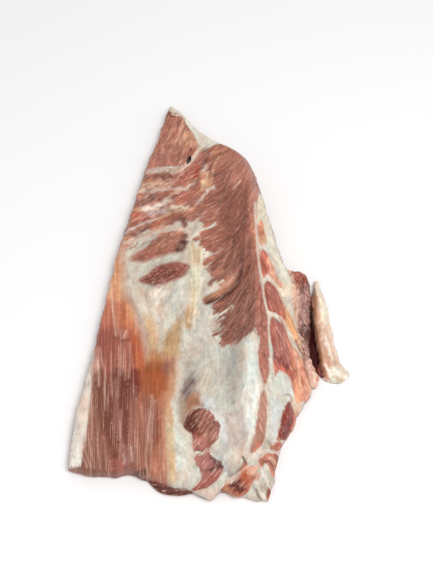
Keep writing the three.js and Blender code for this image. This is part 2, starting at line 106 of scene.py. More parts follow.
# Folds, seams and cords of muscle: a line in plan, its half width and its height.
FOLDS = [
    ([(30, 6), (24, -8), (10, -19), (-6, -29)], 6, 4.5),
    ([(33, 6), (31, -8), (22, -24), (8, -33), (-6, -35)], 2.8, -3.4),
    ([(19, 32), (15, 10), (11, -2)], 2.4, -1.6),
    ([(29, 84), (22, 40), (14, -10)], 2.8, -1),
    ([(42, 75), (43, 29), (46, -31), (51, -81), (50, -122)], 2.8, -2.6),
    ([(-60, -20), (-49, -5)], 5, 4.5),
    ([(-16, 38), (-19, -31), (-16, -58)], 6.5, 2),
    ([(45, -22), (50, -18), (57, -26), (66, -27), (79, -25)], 3.2, -3),
    ([(51, -56), (64, -53), (73, -67), (82, -77), (88, -94)], 3.2, -3),
    ([(44, 16), (52, 14), (62, 6)], 3, -1.8),
    ([(48, 52), (48, 28)], 5, 2),
    ([(53, 4), (56, -12)], 6, 2),
    ([(56, -36), (72, -60)], 8, 3),
    ([(56, -68), (74, -102)], 8, 3),
    ([(76, -78), (84, -110)], 5, 2),
    ([(-26, 146), (-24, 152), (-17, 160)], 3.5, -3),
    ([(-68, 138), (-50, 133), (-29, 128)], 3, -1.8),
    ([(46, -41), (47, -85), (45, -122)], 4, 1.5),
]

# Muscles and lumps that stand above the fat: an outline, how far the edge slopes, and the height.
SWELLINGS = [
    ([(-80, 26), (-62, 43), (-42, 54), (-27, 52), (-27, 38), (-42, 32), (-61, 28)], 6, 2.6),
    ([(-70, 2), (-58, 12), (-46, 17), (-35, 16), (-24, 11), (-33, 5), (-43, 2), (-60, -1)], 5, 2.4),
    ([
        (-10, 150), (4, 157), (21, 146), (40, 104), (44, 55), (43, 24), (45, -31), (46, -62), (33, -70),
        (13, -80), (3, -63), (1, -47), (-9, -29), (-3, -9), (0, 17), (-17, 40), (-15, 83),
    ], 6, 2.2),
    ([
        (-22, -153), (-17, -142), (-10, -138), (0, -141), (6, -152), (7, -166), (4, -174), (-4, -177),
        (-12, -172), (-20, -158),
    ], 7, 2.4),
    ([(-12, -180), (0, -178), (9, -184), (10, -196), (2, -205), (-8, -207), (-14, -204), (-9, -192)], 6, 2),
    ([(50, -116), (60, -112), (70, -118), (72, -128), (60, -134), (52, -130)], 8, 4.5),
    ([(60, -126), (71, -132), (69, -156), (60, -160), (56, -145)], 5, 2),
]
SWELLING_SKIRT = 1.5

TAIL_OUTLINE = [
    (-2, -235), (7, -205), (15, -197), (25, -187), (32, -172), (40, -163), (52, -162), (66, -170),
    (85, -190), (70, -240), (30, -245),
]
TAIL_HEIGHT = 15
TAIL_STEP = (-3, 6)
TAIL_LUMPS = (1.5, 5, 6)

SLIT = {"x": -25, "y": 155, "length": 11, "width": 4.6, "depth": 80, "lean": 36.5, "turn": -25}

# The dark muscle that stands out at the right: the middle of each ring, its half width and half height.
LOBE = [
    ((75, 11, 9), 5, 6), ((76.5, 8, 9.5), 12, 12), ((77.5, 1, 9.5), 13.8, 14.5),
    ((78.5, -9, 9), 14, 15.5), ((79, -22, 8.5), 13.3, 14.5), ((78.5, -42, 8), 12.3, 13.5),
    ((78.5, -62, 7.5), 11, 12), ((80, -78, 6.5), 10, 10.5), ((83.5, -90, 5.5), 10, 8.5),
    ((87, -99, 4.8), 10, 6.5), ((88.5, -106, 4), 5, 4),
]

# The leaf of fat that leans against it: the upper lip, the foot on the table, and the ledge inside. Its
# base grows with the lip's height, and from nothing at the tip over a stretch of Y.
LEAF = [
    ((99.8, 7, 4), (100.9, 8), 0.2), ((98.6, -6, 12), (103, -2), 0.5), ((98, -17, 16), (105.6, -10), 3),
    ((98, -38, 17.5), (109, -28), 2.6), ((98.4, -58, 17), (112.2, -49), 1.4),
    ((100, -73, 15.5), (114.7, -65), 1.2), ((102.4, -85, 12), (118.5, -80), 1.2),
    ((105, -92.5, 7.5), (125.4, -91), 1.5), ((108, -97.7, 4), (120, -98.5), 1),
    ((110.5, -100, 1.5), (114.5, -100.5), 0.5),
]
LEAF_LIP = {"width": 2.6, "rounding": 0.94}
LEAF_LEDGE = {"top": 0.66, "bottom": 0.2, "slope": 0.6}
LEAF_BASE = {"reach": 8, "full_height": 18, "tip": (-7, 24)}
LEAF_WAVE = {"height": 0.9, "turns": 5}

# Its outer face: shares of the way from foot to lip and of the lip's height, and an offset in X.
LEAF_OUTER_FACE = [(0, 0, 0), (0, 0.16, 0.5), (0.3, 0.42, 1.5), (0.68, 0.78, 1.2)]

# How unevenly the leaf and the dark muscle are torn: how far and how long, in millimetres.
LEAF_TEARS = (0.6, 19)
LOBE_LUMPS = (0.7, 8)

# The dark layer that peeps out under the front edge: rings like the dark muscle's.
UNDER_LAYER = [
    ((-60, -188, 2.6), 4, 2), ((-52, -192.5, 2.9), 8.8, 2.9), ((-44, -197, 3.1), 9.5, 3.1),
    ((-34, -199, 3.1), 9.5, 3.1), ((-26, -199.3, 3.1), 9.2, 3.1), ((-17, -198.5, 2.9), 7.8, 2.9),
    ((-9, -198, 2.6), 4, 2),
]

# How finely the surfaces are meshed; rings by their count and their sides.
ROWS = 400
TOP_COLUMNS = 182
BOTTOM_COLUMNS = 42
WALL_STEPS = 5
EDGE_CROWDING = 0.55
SLIT_STEPS = 8
LOBE_RINGS = (180, 96)
LEAF_RINGS = (180, 96)
LAYER_RINGS = (70, 32)

# Small waves in the slab's outline, long ones and short ones: how far and how long; and how far in from
# the edge they die away. The fibres and the fat stand out a little too: how high and how far apart.
LONG_WAVES = (0.6, 17)
SHORT_WAVES = (0.4, 5.5)
OUTLINE_REACH = 5
CORNER_CALM = 0.05
FIBRE_RELIEF = (0.28, 6)
FAT_RELIEF = (0.3, 11)
FAT_RELIEF_STRETCH = (1, 4)

# Where each set of waves starts its random draws.
SEEDS = {
    "outline": (51, 52), "tears": (71, 72, 73), "fibre relief": 61, "fat relief": 62, "tints": (23, 24),
    "fat": 21, "under patches": 3, "between ribs": 4, "layers": 5, "layer threads": 6, "wall fibres": 7,
}

# ---- The camera -------------------------------------------------------------------------------

IMAGE_WIDTH = 433
IMAGE_HEIGHT = 577
SENSOR = 36
LENS = 70
CAMERA_ELEVATION = math.radians(60)
CAMERA_DISTANCE = 1085
CAMERA_TARGET = np.array([3.1, 1.3, 0.0])

# The light: a white sky, and a soft key light over the front right.
SKY_LIGHT = 0.62
KEY_POWER = 12.5
KEY_SIZE = 0.7
KEY_PLACE = (0.35, -0.45, 1.35)

# How the picture lightens a colour: the light on the slab, and the gloss, of which a share is left.
LIGHT_ON_SLAB = 1.03
GLOSS_LIFT = 0.02
LEAST_SHARE = 0.1

camera_up = np.array([0, math.sin(CAMERA_ELEVATION), math.cos(CAMERA_ELEVATION)])
camera_forward = np.array([0, math.cos(CAMERA_ELEVATION), -math.sin(CAMERA_ELEVATION)])
camera_place = CAMERA_TARGET - camera_forward * CAMERA_DISTANCE


def photo_place(points):
    """Pixel of each plan point: its offsets right and up from the camera, over its depth, times the
    focal length in pixels, from the middle of the picture."""
    offset = points - camera_place
    scale = LENS / SENSOR * IMAGE_HEIGHT / (offset @ camera_forward)
    return IMAGE_WIDTH / 2 + scale * offset[:, 0], IMAGE_HEIGHT / 2 - scale * (offset @ camera_up)


# ---- Curves and distances ---------------------------------------------------------------------

def smooth(low, high, x):
    """0 below low, 1 above high, and 3k^2 - 2k^3 between."""
    k = np.clip((x - low) / (high - low), 0, 1)
    return k * k * (3 - 2 * k)


def lerp(a, b, k):
    """a at 0 and b at 1: a + (b - a) k."""
    return a + (b - a) * k


def spline(points, closed=False, steps=8):
    """Catmull-Rom curve through the points: each span blends its two ends and their two neighbours
    with the cubic that keeps the slope even; an open curve carries its end slopes on."""
    p = np.asarray(points, float)
    if closed:
        p = np.vstack([p[-1:], p, p[:2]])
    else:
        p = np.vstack([2 * p[:1] - p[1:2], p, 2 * p[-1:] - p[-2:-1]])
    a, b, c, d = (p[k:len(p) - 3 + k, None, :] for k in range(4))
    w = (np.arange(steps) / steps)[None, :, None]
    spans = 0.5 * (2 * b + (c - a) * w + (2 * a - 5 * b + 4 * c - d) * w**2 + (3 * b - a - 3 * c + d) * w**3)
    return np.vstack([spans.reshape(-1, p.shape[1]), p[-2:-1]])


def at_station(stations, share):
    """Value at a share of the length, on the spline through the stations."""
    curve = spline(stations, steps=12)
    return np.interp(share, curve[:, 0], curve[:, 1])


def walk(points, share):
    """Point at a share of the curve's length, walked with even steps."""
    curve = spline(points, steps=32)
    run = np.concatenate([[0], np.cumsum(np.linalg.norm(np.diff(curve, axis=0), axis=1))])
    return np.stack([np.interp(share, run / run[-1], curve[:, axis]) for axis in range(curve.shape[1])], -1)


def distance_to(curve, x, y, reach=1e9):
    """Distance from each point to the nearest stretch of a curve: the foot of the perpendicular on each
    stretch, held between its ends. Points farther than reach from the curve's box get reach."""
    best = np.full(x.shape, float(reach))
    near = (x > curve[:, 0].min() - reach) & (x < curve[:, 0].max() + reach)
    near &= (y > curve[:, 1].min() - reach) & (y < curve[:, 1].max() + reach)
    px, py = x[near], y[near]
    close = best[near]
    for (ax, ay), (bx, by) in zip(curve[:-1], curve[1:]):
        ux, uy = bx - ax, by - ay
        k = np.clip(((px - ax) * ux + (py - ay) * uy) / (ux * ux + uy * uy + 1e-12), 0, 1)
        close = np.minimum(close, np.hypot(px - ax - k * ux, py - ay - k * uy))
    best[near] = close
    return best


def is_inside(curve, x, y):
    """Whether a line from each point towards +X crosses the closed curve an odd number of times."""
    crossed = np.zeros(x.shape, bool)
    box = (y >= curve[:, 1].min()) & (y <= curve[:, 1].max()) & (x <= curve[:, 0].max())
    px, py = x[box], y[box]
    odd = crossed[box]
    for (ax, ay), (bx, by) in zip(curve[:-1], curve[1:]):
        if ay != by:
            odd ^= ((ay > py) != (by > py)) & (px < ax + (bx - ax) * (py - ay) / (by - ay))
    crossed[box] = odd
    return crossed


def depth_inside(outline, x, y, reach=1e9):
    """Distance in from a smooth closed outline, negative outside it."""
    curve = spline(outline, closed=True, steps=5)
    distance = distance_to(curve, x, y, reach)
    return np.where(is_inside(curve, x, y), distance, -distance)


def waves(x, y, length, seed, count=7):
    """Smooth noise from -1 to 1 or so: a sum of sine waves of about one length in random directions."""
    draw = np.random.default_rng(seed)
    total = np.zeros(np.shape(x))
    for _ in range(count):
        turn, phase, stretch = draw.uniform(0, 2 * np.pi, 2).tolist() + [draw.uniform(0.7, 1.5)]
        k = 2 * np.pi / (length * stretch)
        total = total + np.sin(k * (x * np.cos(turn) + y * np.sin(turn)) + phase)
    return total / math.sqrt(count)


def round_off(distance, radius):
    """0 at the edge and 1 once a radius away, along a quarter circle."""
    k = 1 - np.clip(distance / radius, 0, 1)
    return np.sqrt(1 - k * k)


def crowded(count):
    """Even steps from 0 to 1, drawn closer together near both ends by a sine."""
    u = np.arange(count + 1) / count
    return u - EDGE_CROWDING / (2 * np.pi) * np.sin(2 * np.pi * u)


# ---- The slab's plan and heights ---------------------------------------------------------------

def plan(along, across):
    """Plan place of each (length share, width share): the sum of the blends between opposite edges,
    less the blend of the four corners, moved by small waves near the edges but not at the corners. Also
    the slab's width and length there."""
    left, right = walk(LEFT_EDGE, along), walk(RIGHT_EDGE, along)
    front, back = walk(FRONT_EDGE, across), walk(BACK_EDGE, across)
    s, t = along[..., None], across[..., None]
    corners = [np.array(p, float) for p in (LEFT_EDGE[0], RIGHT_EDGE[0], LEFT_EDGE[-1], RIGHT_EDGE[-1])]
    place = (1 - t) * left + t * right + (1 - s) * front + s * back
    place -= (1 - s) * ((1 - t) * corners[0] + t * corners[1]) + s * ((1 - t) * corners[2] + t * corners[3])
    width, length = np.linalg.norm(right - left, axis=-1), np.linalg.norm(back - front, axis=-1)
    x, y = place[..., 0], place[..., 1]
    ends = smooth(0, CORNER_CALM, along) * smooth(1, 1 - CORNER_CALM, along)
    sides = smooth(0, CORNER_CALM, across) * smooth(1, 1 - CORNER_CALM, across)
    by_side = np.exp(-across * width / OUTLINE_REACH) + np.exp(-(1 - across) * width / OUTLINE_REACH)
    by_end = np.exp(-along * length / OUTLINE_REACH) + np.exp(-(1 - along) * length / OUTLINE_REACH)
    moves = [
        sum(size * waves(x, y, wave, seed) for size, wave in (LONG_WAVES, SHORT_WAVES))
        for seed in SEEDS["outline"]
    ]
    return x + ends * by_side * moves[0], y + sides * by_end * moves[1], width, length


def soft_ramp(x):
    """(x + sqrt(x^2 + r^2)) / 2: flat before 0, even after it."""
    return (x + np.sqrt(x * x + RISE_ROUNDING**2)) / 2


def crown_height(along, across):
    """The lower of two slopes with a rounded meeting: the rise from the flap, and the flank from the
    right rim; the rounded lower of a and b is (a + b - sqrt((a - b)^2 + r^2)) / 2."""
    place = at_station(RIDGE_PLACE, along)
    top = at_station(RIDGE_HEIGHT, along)
    flap = FLAP_THICKNESS - TIP_THINNING["height"] * smooth(*TIP_THINNING["along"], along)
    start = at_station(RISE_START, along)
    rise = soft_ramp((across / place - start) / (1 - start)) / soft_ramp(1.0)
    from_flap = flap + (top - flap) * rise
    rim = at_station(RIGHT_RIM_HEIGHT, along)
    from_flank = rim + (top - rim) * ((1 - across) / (1 - place)) ** FLANK_POWER
    return (from_flap + from_flank - np.hypot(from_flap - from_flank, RIDGE_ROUNDING)) / 2 + RIDGE_LIFT


def rib_wave(x, y):
    """Cosine along the length, one turn a rib, slanting a little."""
    return np.cos(2 * np.pi * (y - RIB_SLANT * x - RIB_PHASE) / RIB_PITCH)


def relief_height(x, y):
    """Bell-shaped folds exp(-(d/w)^2) along lines, swellings with sloping edges, and rib bands."""
    left, right, front, back = (RIB_BAND_ZONE[side] for side in ("left", "right", "front", "back"))
    zone = smooth(*left, x) * smooth(*right, x) * smooth(*front, y) * smooth(*back, y)
    height = RIB_BAND_RELIEF * zone * rib_wave(x, y)
    for path, width, rise in FOLDS:
        distance = distance_to(spline(path), x, y, 4 * width)
        height += rise * np.exp(-(distance / width) ** 2)
    for outline, slope, rise in SWELLINGS:
        height += rise * smooth(-SWELLING_SKIRT, slope, depth_inside(outline, x, y, 2 * slope))
    return height


def tail_share(x, y):
    """1 inside the tail's outline and 0 outside, with a smooth step across its edge."""
    return smooth(*TAIL_STEP, depth_inside(TAIL_OUTLINE, x, y, 20))


def top_sheet(along, across):
    """Height over the plan: the crown and its relief, stepped down at the tail, and brought down to the
    wall's top along quarter circles at the four edges."""
    x, y, width, length = plan(along, across)
    tail = tail_share(x, y)
    rise, long_x, long_y = TAIL_LUMPS
    lumps = rise * np.sin(x / long_x) * np.cos(y / long_y)
    full = crown_height(along, across) + relief_height(x, y)
    height = full * (1 - tail) + np.minimum(full, TAIL_HEIGHT + lumps) * tail
    back_share = smooth(*BACK_WALL_EXTRA["along"], along) * smooth(*BACK_WALL_EXTRA["across"], across)
    wall = np.minimum(RIM_WALL + BACK_WALL_EXTRA["height"] * back_share, RIM_SHARE * height)
    front_radius = lerp(*FRONT_ROUNDING["radii"], smooth(*FRONT_ROUNDING["across"], across))
    back_radius = lerp(*BACK_ROUNDING["radii"], smooth(*BACK_ROUNDING["across"], across))
    rounding = round_off(across * width, LEFT_ROUNDING) * round_off((1 - across) * width, RIGHT_ROUNDING)
    rounding *= round_off(along * length, front_radius) * round_off((1 - along) * length, back_radius)
    return np.stack([x, y, wall + (height - wall) * rounding], -1)


def bottom_sheet(along, across):
    """An arch between flap and chine with the ribs standing down out of it, never below the table."""
    x, y, width, length = plan(along, across)
    ends = smooth(*ARCH_ENDS["front"], along) * smooth(*ARCH_ENDS["back"], along)
    span = smooth(*ARCH_SIDES["left"], across) * smooth(*ARCH_SIDES["right"], across)
    arch = ARCH_HEIGHT * span * lerp(ARCH_ENDS["share"], 1, ends) * (1 - TAIL_ARCH_LOSS * tail_share(x, y))
    ribs = RIB_RELIEF * span * (1 + rib_wave(x, y)) / 2
    edge = np.minimum(np.minimum(across, 1 - across) * width, np.minimum(along, 1 - along) * length)
    lift = LOWER_LIFT * (1 - round_off(edge, LOWER_ROUNDING))
    return np.stack([x, y, np.maximum(0, arch - ribs) + lift], -1)


# ---- Meshes -----------------------------------------------------------------------------------

def quads(rows, columns, start, wrap=False, flip=False):
    """Quads between neighbouring rows and columns of a grid whose first vertex is start."""
    r = np.arange(rows - 1)[:, None] * columns + start
    c = np.arange(columns if wrap else columns - 1)[None, :]
    d = (c + 1) % columns
    faces = np.stack([r + c, r + d, r + columns + d, r + columns + c], -1).reshape(-1, 4)
    return faces[:, ::-1] if flip else faces


def zip_rows(lower, upper):
    """Triangles between two rows of different counts, stepping along whichever is behind."""
    faces, a, b = [], 0, 0
    while a < len(lower) - 1 or b < len(upper) - 1:
        lower_first = (a + 1) * (len(upper) - 1) <= (b + 1) * (len(lower) - 1)
        behind = b == len(upper) - 1 or (a < len(lower) - 1 and lower_first)
        faces.append((lower[a], lower[a + 1], upper[b]) if behind else (lower[a], upper[b + 1], upper[b]))
        a, b = (a + 1, b) if behind else (a, b + 1)
    return faces


def make_piece(name, points, faces):
    """A mesh object with its place in its mesh: plan millimetres become the frame's metres."""
    mesh = bpy.data.meshes.new(name)
    mesh.from_pydata(((points - PLAN_MIDDLE) * MM).tolist(), [], faces)
    mesh.update()
    piece = bpy.data.objects.new(name, mesh)
    bpy.context.collection.objects.link(piece)
    mesh.polygons.foreach_set("use_smooth", np.ones(len(mesh.polygons), bool))
    return piece


def slab_surface():
    """Upper and lower sheets on shared rows, with a wall of several steps round the four edges, straight
    down from the upper sheet's edge; its lowest step is zipped to the coarser lower sheet."""
    rows, top_shares, bottom_shares = crowded(ROWS), crowded(TOP_COLUMNS), crowded(BOTTOM_COLUMNS)
    top = top_sheet(*np.meshgrid(rows, top_shares, indexing="ij"))
    bottom = bottom_sheet(*np.meshgrid(rows, bottom_shares, indexing="ij"))
    rim = np.concatenate([top[0, :], top[1:, -1], top[-1, -2::-1], top[-2:0:-1, 0]])
    low_rim = bottom_sheet(
        np.concatenate([np.zeros(TOP_COLUMNS + 1), rows[1:], np.ones(TOP_COLUMNS), rows[-2:0:-1]]),
        np.concatenate([top_shares, np.ones(ROWS), top_shares[-2::-1], np.zeros(ROWS - 1)]),
    )
    down = (np.arange(1, WALL_STEPS) / WALL_STEPS)[:, None, None]
    wall = rim[None] * (1 - down) + low_rim[None] * down
    points = np.concatenate([top.reshape(-1, 3), bottom.reshape(-1, 3), wall.reshape(-1, 3)])
    faces = quads(ROWS + 1, TOP_COLUMNS + 1, 0).tolist()
    faces += quads(ROWS + 1, BOTTOM_COLUMNS + 1, top.shape[0] * top.shape[1], flip=True).tolist()

    top_ids = np.arange(top.shape[0] * top.shape[1]).reshape(top.shape[:2])
    low_ids = np.arange(bottom.shape[0] * bottom.shape[1]).reshape(bottom.shape[:2]) + top_ids.size
    ring = np.concatenate([top_ids[0, :], top_ids[1:, -1], top_ids[-1, -2::-1], top_ids[-2:0:-1, 0]])
    wall_ids = np.arange(wall.shape[0] * wall.shape[1]).reshape(wall.shape[:2]) + top_ids.size + low_ids.size
    for upper, lower in zip([ring, *wall_ids[:-1]], wall_ids):
        upper_next, lower_next = np.roll(upper, -1), np.roll(lower, -1)
        faces += np.stack([lower, lower_next, upper_next, upper], -1).tolist()
    last = np.append(wall_ids[-1], wall_ids[-1][0])
    corners = np.cumsum([0, TOP_COLUMNS, ROWS, TOP_COLUMNS, ROWS])
    low_sides = [low_ids[0, :], low_ids[:, -1], low_ids[-1, ::-1], low_ids[::-1, 0]]
    for first, end, side in zip(corners[:-1], corners[1:], low_sides):
        faces += zip_rows(side.tolist(), last[first:end + 1].tolist())
    return points, faces


def roughened(rings, height, length):
    """Rings moved sideways by small waves over their length and height, and their heights scaled by as
    much for each length of a wave; places on the table stay on it."""
    x, y, z = np.moveaxis(rings, -1, 0)
    by_x, by_y, by_z = SEEDS["tears"]
    moved_x = x + height * waves(y, z, length, by_x)
    moved_y = y + height * waves(x, z, length, by_y)
    return np.stack([moved_x, moved_y, z * (1 + height / length * waves(x, y, length, by_z))], -1)


def ring_surface(rings):
    """Rings joined by quads and closed by a point at the middle of each end ring."""
    count, sides = rings.shape[:2]
    points = np.concatenate([rings.reshape(-1, 3), rings[:1].mean(1), rings[-1:].mean(1)])
    faces = quads(count, sides, 0, wrap=True).tolist()
    first_middle, last_middle, last_ring = count * sides, count * sides + 1, (count - 1) * sides
    for side in range(sides):
        following = (side + 1) % sides
        faces.append((first_middle, following, side))
        faces.append((last_middle, last_ring + side, last_ring + following))
    return points, faces


def oval_muscle(stations, steps, sides, axis):
    """Oval rings along a spline: half width times cosine along one axis and half height times sine
    along Z, cut off flat at the table."""
    share = np.linspace(0, 1, steps)
    flat = np.array([(*at, width, height) for at, width, height in stations], float)
    curve = spline(flat, steps=16)
    run = np.linspace(0, 1, len(curve))
    place = np.stack([np.interp(share, run, curve[:, k]) for k in range(5)], -1)
    turn = 2 * np.pi * np.arange(sides) / sides
    rings = np.repeat(place[:, None, :3], sides, 1)
    rings[..., axis] += place[:, None, 3] * np.cos(turn)
    rings[..., 2] = np.maximum(0, rings[..., 2] + place[:, None, 4] * np.sin(turn))
    return rings


def even_ring(corners, sides):
    """The closed outline through corners of each ring, walked with even steps."""
    rings = []
    for ring in np.concatenate([corners, corners[:, :1]], 1):
        run = np.concatenate([[0], np.cumsum(np.linalg.norm(np.diff(ring, axis=0), axis=1))])
        even = np.linspace(0, run[-1], sides, endpoint=False)
        rings.append(np.stack([np.interp(even, run, ring[:, k]) for k in range(3)], -1))
    return np.array(rings)


def leaf_rings(steps, sides):
    """The leaf of fat in rings: the outer face from the foot up to the lip, each corner a blend of foot
    and lip with an offset; then the inner face down over a ledge, and out to a base."""
    share = np.linspace(0, 1, steps)
    stations = np.array([(*lip, *foot, ledge) for lip, foot, ledge in LEAF])
    curve = spline(stations, steps=16)
    run = np.linspace(0, 1, len(curve))
    x, y, z, foot_x, foot_y, ledge = (np.interp(share, run, curve[:, k]) for k in range(6))
    wave = LEAF_WAVE["height"] * np.sin(2 * np.pi * LEAF_WAVE["turns"] * share)
    corners = [
        (lerp(foot_x, x, way) + offset + wave * rise * (1 - rise), lerp(foot_y, y, way), z * rise)
        for way, rise, offset in LEAF_OUTER_FACE
    ]
    lip_side = z * LEAF_LIP["rounding"]
    inside = x - LEAF_LIP["width"] / 2
    wall = inside - ledge
    reach = LEAF_BASE["reach"] * np.minimum(1, z / LEAF_BASE["full_height"]) * smooth(*LEAF_BASE["tip"], -y)
    base = wall - LEAF_LEDGE["slope"] - reach
    corners += [
        (x + LEAF_LIP["width"] / 2, y, lip_side), (x, y, z), (inside, y, lip_side),
        (wall, y, z * LEAF_LEDGE["top"]), (wall - LEAF_LEDGE["slope"], y, z * LEAF_LEDGE["bottom"]),
        (base, y, 0 * z),
    ]
    return even_ring(np.array(corners).transpose(2, 0, 1), sides)


def cut_slit(piece):
    """Cuts the torn slit through a piece with a lens-shaped prism, turned about its own axis by the slit's
    turn, then about X by its lean: the lens's half width is 2 t (1 - t) of the full width, at t along its
    length."""
    t = np.arange(SLIT_STEPS + 1) / SLIT_STEPS
    bulge, run = 2 * t * (1 - t) * SLIT["width"], SLIT["length"] * (t - 0.5)
    outline = np.array([np.append(bulge, -bulge[-2:0:-1]), np.append(run, run[-2:0:-1])])
    turn = math.radians(SLIT["turn"])
    across = np.tile(outline[0] * math.cos(turn) - outline[1] * math.sin(turn), 2)
    along = np.tile(outline[0] * math.sin(turn) + outline[1] * math.cos(turn), 2)
    up = np.repeat([-SLIT["depth"] / 2, SLIT["depth"] / 2], outline.shape[1])
    low, high = math.cos(math.radians(SLIT["lean"])), math.sin(math.radians(SLIT["lean"]))
    corners = np.stack([across, along * low - up * high, along * high + up * low], -1)
    count = outline.shape[1]
    faces = [(side, (side + 1) % count, count + (side + 1) % count, count + side) for side in range(count)]
    faces += [tuple(range(count - 1, -1, -1)), tuple(range(count, 2 * count))]
    cutter = make_piece("slit_cutter", corners + (SLIT["x"], SLIT["y"], 0), faces)
    cut = piece.modifiers.new("slit", "BOOLEAN")
    cut.operation = "DIFFERENCE"
    cut.object = cutter
    bpy.context.view_layer.update()
    ready = piece.evaluated_get(bpy.context.evaluated_depsgraph_get())
    piece.data = bpy.data.meshes.new_from_object(ready)
    piece.modifiers.clear()
    bpy.data.objects.remove(cutter)


# ---- Where lean and fat lie ---------------------------------------------------------------------
# Outlines and lines here are in pixels of the photograph: a plan point's pixel comes from photo_place.

# Lean muscles of the outer side: the family that its fibres follow, and a closed outline.
LEAN = {
    "tip": ("tip", [
        (166,107), (171,112), (179,114), (186,120), (190,128), (197,140), (198,149), (192,156), (186,165),
        (168,167), (148,169), (138,173), (144,156), (156,134), (160,118),
    ]),
    "rib bands": ("ribs", [
        (136,176), (142,171), (160,170), (178,168), (188,164), (197,156), (203,148), (208,165), (208,200),
        (206,216), (194,222), (176,222), (150,230), (128,241), (112,242), (124,215),
    ]),
    "left tuft": ("ribs", [(116,240), (126,235), (133,238), (129,246), (123,252), (114,258)]),
    "upper lens": ("ribs", [
        (130,260), (138,252), (148,243), (158,236), (170,231), (181,228), (187,231), (188,240), (184,251),
        (170,254), (158,258), (145,262),
    ]),
    "lower lens": ("ribs", [
        (139,281), (148,273), (157,266), (168,262), (180,262), (189,266), (185,275), (174,281), (160,286),
        (150,286),
    ]),
    "fan": ("fan", [
        (199,152), (206,148), (217,144.5), (227,141), (240,142), (256,158), (259,188), (257,205), (257,225),
        (260,258), (264,298), (268,332), (258,329), (246,337), (230,345), (218,335), (220,320), (212,306),
        (224,293), (216,281), (208,268), (214,256), (200,246), (201,234), (205,228), (199,219), (202,195),
        (204,172),
    ]),
    "strip": ("side", [
        (257,286), (262,288), (264,298), (267,308), (268,316), (268,330), (269,344), (269,360), (269,372),
        (267,380), (264,387), (262,382), (260,372), (258.5,356), (259.5,344), (260.5,336), (257,330),
    ]),
    "lower strip": ("side", [
        (263,388), (266,392), (267,402), (267,416), (266,430), (264,440), (260,446), (254,452), (250,453),
        (251,446), (254,437), (256,424), (258,410), (260,398),
    ]),
    "flap": ("flap", [
        (108,250), (121,252), (126,270), (127,290), (133,304), (139,318), (145,338), (150,356), (160,358),
        (173,362), (170,380), (166,404), (167,440), (168,472), (164,492), (110,500), (58,484), (68,469),
        (79,466), (83,450), (87,424), (90,390), (92,360), (96,328), (102,292),
    ]),
    "lower muscle": ("lower", [
        (190,412), (198,409), (206,409), (212,414), (217,420), (221,425), (219,434), (217,441), (212,447),
        (206,453), (196,455), (193,448), (192,435), (186,430), (183,423),
    ]),
    "lowest muscle": ("lower", [
        (195,456), (203,455), (210,452), (213,457), (220,461), (224,468), (219,477), (213,484), (206,488),
        (191,491), (198,485), (202,478), (200,470), (196,465),
    ]),
    "flank first": ("side", [
        (261,219), (263,223), (265,232), (267,240), (265,244), (261,245), (259,238), (257,229), (259,223),
    ]),
    "flank second": ("side", [
        (262,250), (266,252), (270,259), (274,267), (278,276), (283,285), (280,288), (274,283), (270,277),
        (267,275), (264,279), (261,270), (259,260),
    ]),
    "flank third": ("side", [
        (267,281), (272,284), (277,290), (281,299), (286,308), (292,318), (295,326), (299,335), (303,345),
        (307,357), (311,369), (308,369), (303,359), (297,347), (291,337), (286,327), (280,318), (274,313),
        (268,310), (265,300), (264,289),
    ]),
    "flank fourth": ("side", [
        (272,317), (277,319), (282,323), (287,332), (291,341), (296,350), (302,360), (308,372), (310,384),
        (309,399), (303,402), (297,401), (293,390), (290,379), (285,373), (279,371), (275,377), (273,358),
        (271,342), (270,328),
    ]),
    "dark end": ("side", [
        (289,401), (292,407), (295,414), (297,420), (294,427), (290,434), (286,440), (276,440), (279,432),
        (281,418), (284,409),
    ]),
    "first scrap": ("side", [(271,447), (275,443), (281,442), (281,448), (277,452), (272,450)]),
    "second scrap": ("side", [
        (259,460), (264,456), (270,453), (277,455), (280,461), (277,469), (273,477), (270,470), (266,464),
        (260,467),
    ]),
    "tail": ("lower", [
        (219,491), (224,485), (233,482), (240,474), (247,468), (256,465), (258,470), (256,478), (251,484),
        (248,492), (240,497), (228,495),
    ]),
    "tail scrap": ("side", [(267,489), (271,488), (272,494), (269,499), (266,496)]),
}

# Fingers of lean beyond the outlines: half width and line.
LEAN_FINGERS = [
    (4.7, [(238,279), (224,291), (214,297.5), (207,301)]),
    (2.6, [(226,264), (214,268), (207,271)]),
    (2.2, [(226,273), (214,280), (210,284)]),
    (2.4, [(224,252), (214,256), (206,263)]),
    (2.4, [(214,236), (203,238), (195,240)]),
    (2.4, [(214,244), (206,249), (204,253)]),
    (1.6, [(226,308), (218,311), (214,312)]),
    (1.8, [(224,316), (218,321), (215,323)]),
    (2.4, [(226,326), (219,331), (215,333)]),
    (2.6, [(231,336), (225,342), (223,344)]),
    (0.9, [(136,238), (143,236), (152,234)]),
]

